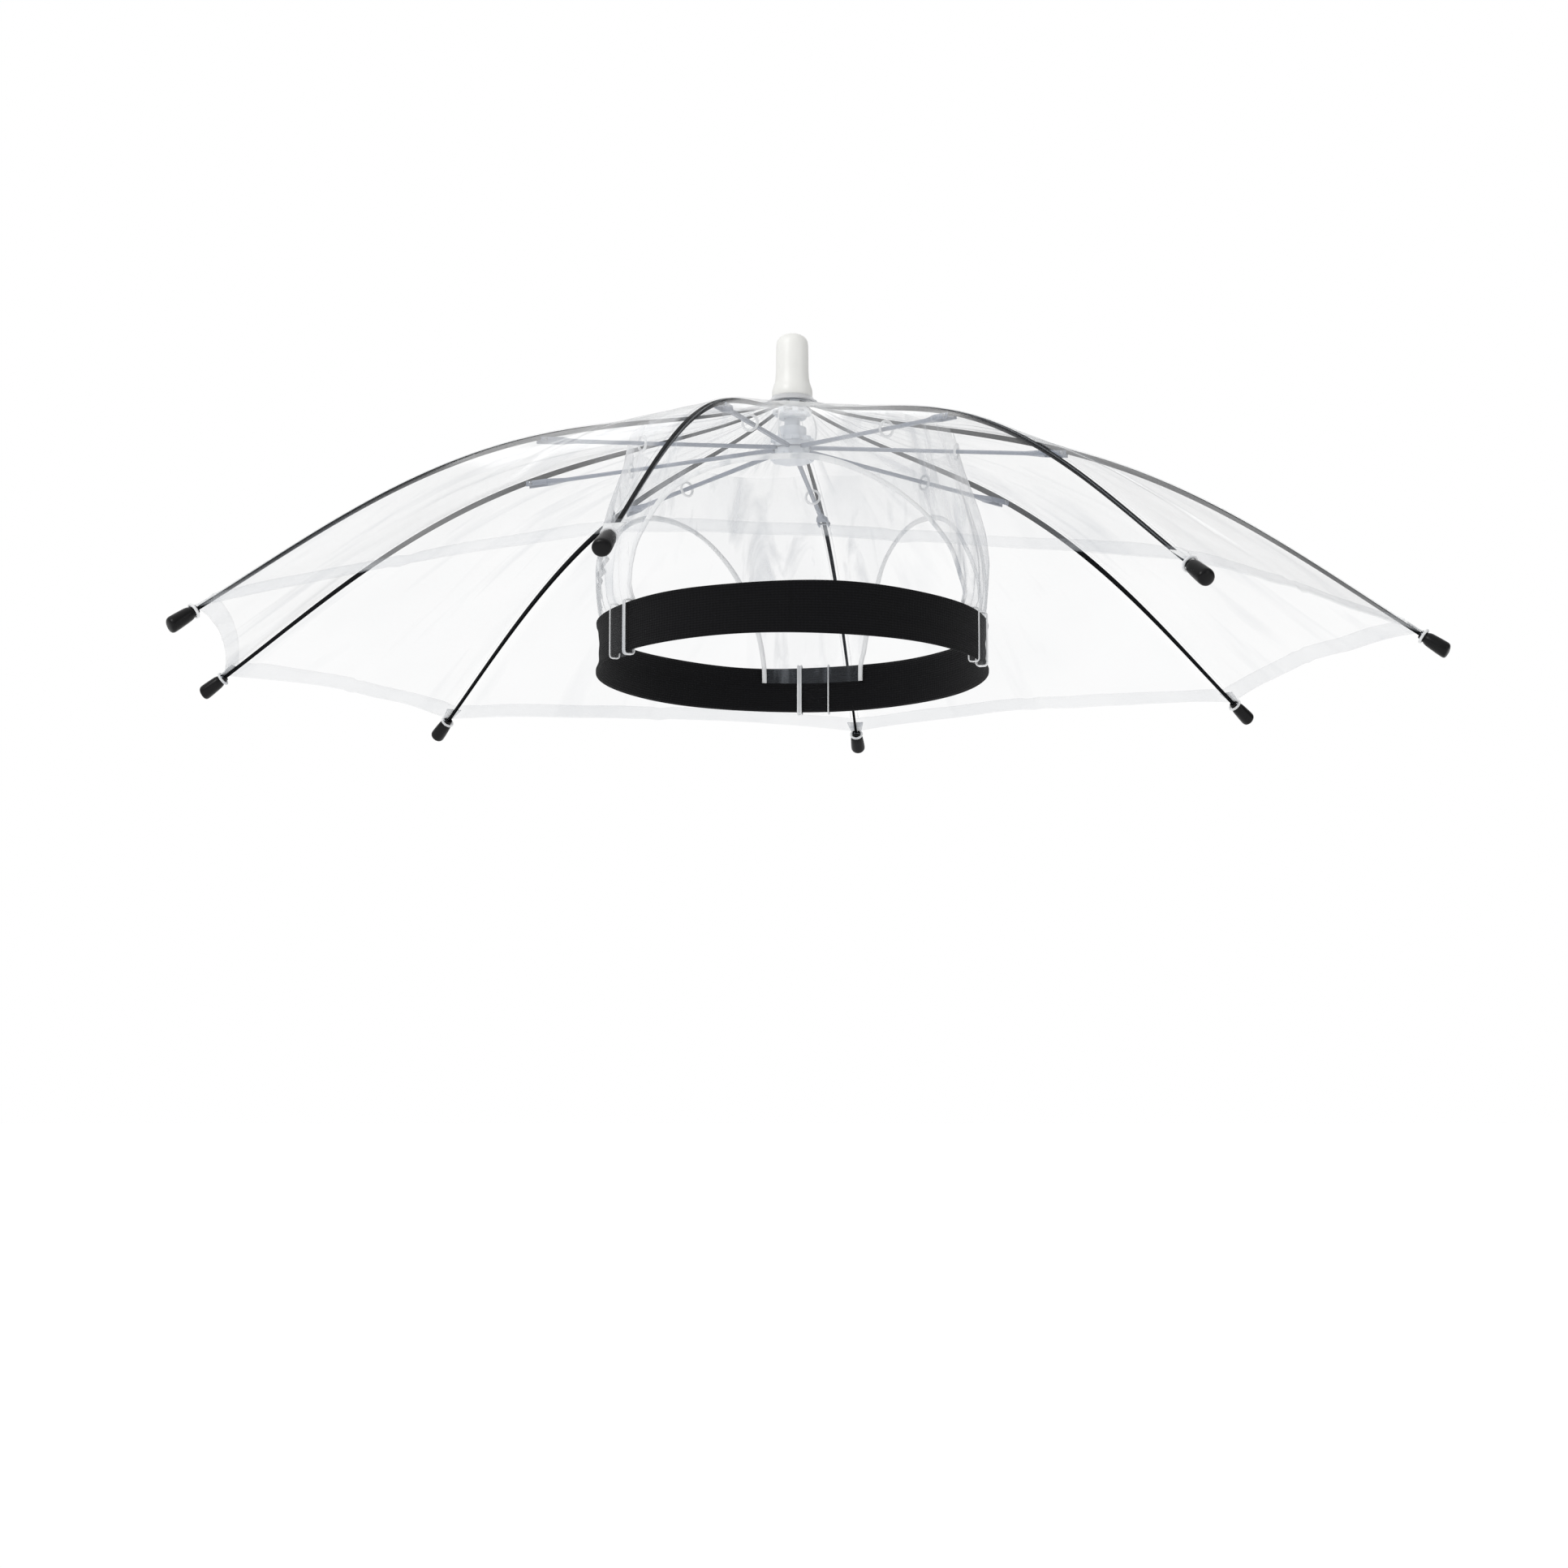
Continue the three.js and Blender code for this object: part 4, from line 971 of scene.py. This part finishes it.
# %% Band loops
LOOP_WIDTH, LOOP_WALL, LOOP_BELLY, WELD_HALF_THICK = 15.0, 0.5, 0.35, 0.12
loop_film, loop_edges, loop_welds = [], [], []
for start, end, loop_at, full_before, full_after in LEGS:
    normal = oval_normal(float(loop_at))
    side = np.cross(normal, UP)
    middle = oval_point(float(loop_at), BAND_HALF_WIDTH) - normal * (BAND_CURL + BAND_THICK) / 2
    middle[2] = band_lift(middle)
    half_x = (BAND_THICK + BAND_CURL) / 2 + LOOP_GAP + LOOP_WALL
    half_z = BAND_HEIGHT / 2 + LOOP_GAP + LOOP_WALL
    outline = rounded([(-half_x, -half_z), (half_x, -half_z), (half_x, half_z), (-half_x, half_z)], 1.6, 6)
    strip = np.array([[middle + side * share * LOOP_WIDTH / 2 + UP * z
                       + normal * (x + np.sign(x) * LOOP_BELLY * (1 - share ** 2)) for x, z in outline]
                      for share in np.linspace(-1, 1, 13)])
    loop_film.append(skin(strip, closed=True))
    for line, radius in ((strip[0], 0.38), (strip[-1], 0.34), (lerp(strip[1], strip[2], 0.3), 0.3)):
        loop_edges.append(tube(line, radius, ring=True, up=side))
    weld = [lerp(strip[0], strip[2], 0.65 * t) + normal * WELD_HALF_THICK * out
            for t, out in ((0, 1), (1, 1), (1, -1), (0, -1))]
    loop_welds.append(skin(weld, ring=True, closed=True))
loops = make_piece("band_loops", joined(loop_film), loop_pvc, face_out=False)
loop_beads = make_piece("band_loop_edges", joined(loop_edges), edge_pvc)
loop_weld = make_piece("band_loop_welds", joined(loop_welds), soft_washer_pvc)
print("loops:", len(LEGS))

# %% [markdown]
# ## Studio
# The hat stands open, well above a pale floor in a white room. Clear film on white shows only if the room it
# mirrors has some darker parts. So the backdrop is white, but the light that falls on the hat comes mostly from
# above, and thins towards the floor and to the right. The floor's paper glows, so it looks as white as the room,
# but for a slightly greyer patch under the hat, where its glow is turned down as a painted shadow, and on which
# film still shows from above. One large soft light stands to the upper left, a weaker one to the right, and a
# strip behind the hat draws glints along the floor's folds.

# %% Floor and room
FLOOR_LEVEL, FLOOR_HALF = -0.62, 30
PATCH_GLOW, FLOOR_GLOW = 0.57, 0.69
floor_mesh = bpy.data.meshes.new("floor")
corners = [(x * FLOOR_HALF, y * FLOOR_HALF, FLOOR_LEVEL) for x, y in ((-1, -1), (1, -1), (1, 1), (-1, 1))]
floor_mesh.from_pydata(corners, [], [(0, 1, 2, 3)])
floor = put("floor", floor_mesh)
# Matt cardboard paper, almost even, so nothing on the floor draws the eye
paper, shader, add = grained("white_studio_paper", ("B2B2B2", "B5B5B5"), (0.85, 0.95), 400, 3.0, 0.1,
                        IOR=1.45, Emission_Color=linear("FFFFFF"))
from_hat = add("VectorMath", operation="LENGTH", i0=add("TexCoord").outputs["Object"])
# Seen from the camera, the glow is turned down within about 0.7 to 1.9 m of the hat: a painted shadow under it
painted_shadow_glow = add("MapRange", Value=from_hat.outputs["Value"], From_Min=0.7, From_Max=1.9,
                      To_Min=PATCH_GLOW, To_Max=FLOOR_GLOW)
seen = add("LightPath").outputs["Is Camera Ray"]
set_inputs(paper, shader, Emission_Strength=add(
    "MapRange", Value=seen, To_Min=PATCH_GLOW, To_Max=painted_shadow_glow))
floor_mesh.materials.append(paper)

world = bpy.data.worlds.new("white_room")
world.use_nodes = True
add = partial(add_node, world)
direction = add("SeparateXYZ", Vector=add("TexCoord").outputs["Generated"])
from_above = add("MapRange", Value=direction.outputs["Z"], From_Min=-0.25, From_Max=0.9,
                      To_Min=0.44, To_Max=0.86)
from_side = add("MapRange", Value=direction.outputs["X"], To_Min=1.0, To_Max=0.36)
room_light = add("Math", operation="MULTIPLY", i0=from_above, i1=from_side)
seen = add("LightPath").outputs["Is Camera Ray"]
strength = add("Mix", data_type="FLOAT", i0=seen, i2=room_light, i3=1.0)
set_inputs(world, world.node_tree.nodes["Background"], Color=(1.0, 1.0, 1.0, 1.0), Strength=strength)
bpy.context.scene.world = world


# %% Lights


def add_light(name, place, target, width, height, watts):
    light = bpy.data.lights.new(name, "AREA")
    light.shape, light.size, light.size_y, light.energy = "RECTANGLE", width, height, watts
    lamp = put(name, light)
    lamp.location = place
    lamp.rotation_euler = (Vector(target) - Vector(place)).to_track_quat("-Z", "Y").to_euler()


add_light("key_softbox", (-1.3, -1.5, 1.3), (0, 0, 0.05), 1.0, 1.0, 16)
add_light("fill_softbox", (1.6, -1.2, 0.5), (0, 0, 0.05), 0.8, 1.2, 3)
add_light("back_strip", (0.2, 1.6, 1.1), (0, 0, 0.08), 1.6, 0.25, 2)

# %% [markdown]
# ## Camera
# The picture is taken from the front and a little below the rim, tilted up by about six degrees, so the near
# half of the canopy is seen from outside and the far half from below. Colours are shown plainly, as a product
# picture is printed, so the view is set to Standard.

# %% Camera
camera = put("camera", bpy.data.cameras.new("camera"))
camera.data.sensor_width = 36.0
camera.data.lens = 65.2
camera.location = (-0.0038, -1.2822, -0.1967)
camera.rotation_euler = (np.radians(96.05), 0.0, 0.0)
bpy.context.scene.camera = camera
bpy.context.scene.view_settings.view_transform = "Standard"

# %% [markdown]
# The pieces made and their faces are counted.

# %% Sizes and finish
print("pieces:", len(pieces_made), "faces:", sum(pieces_made.values()))
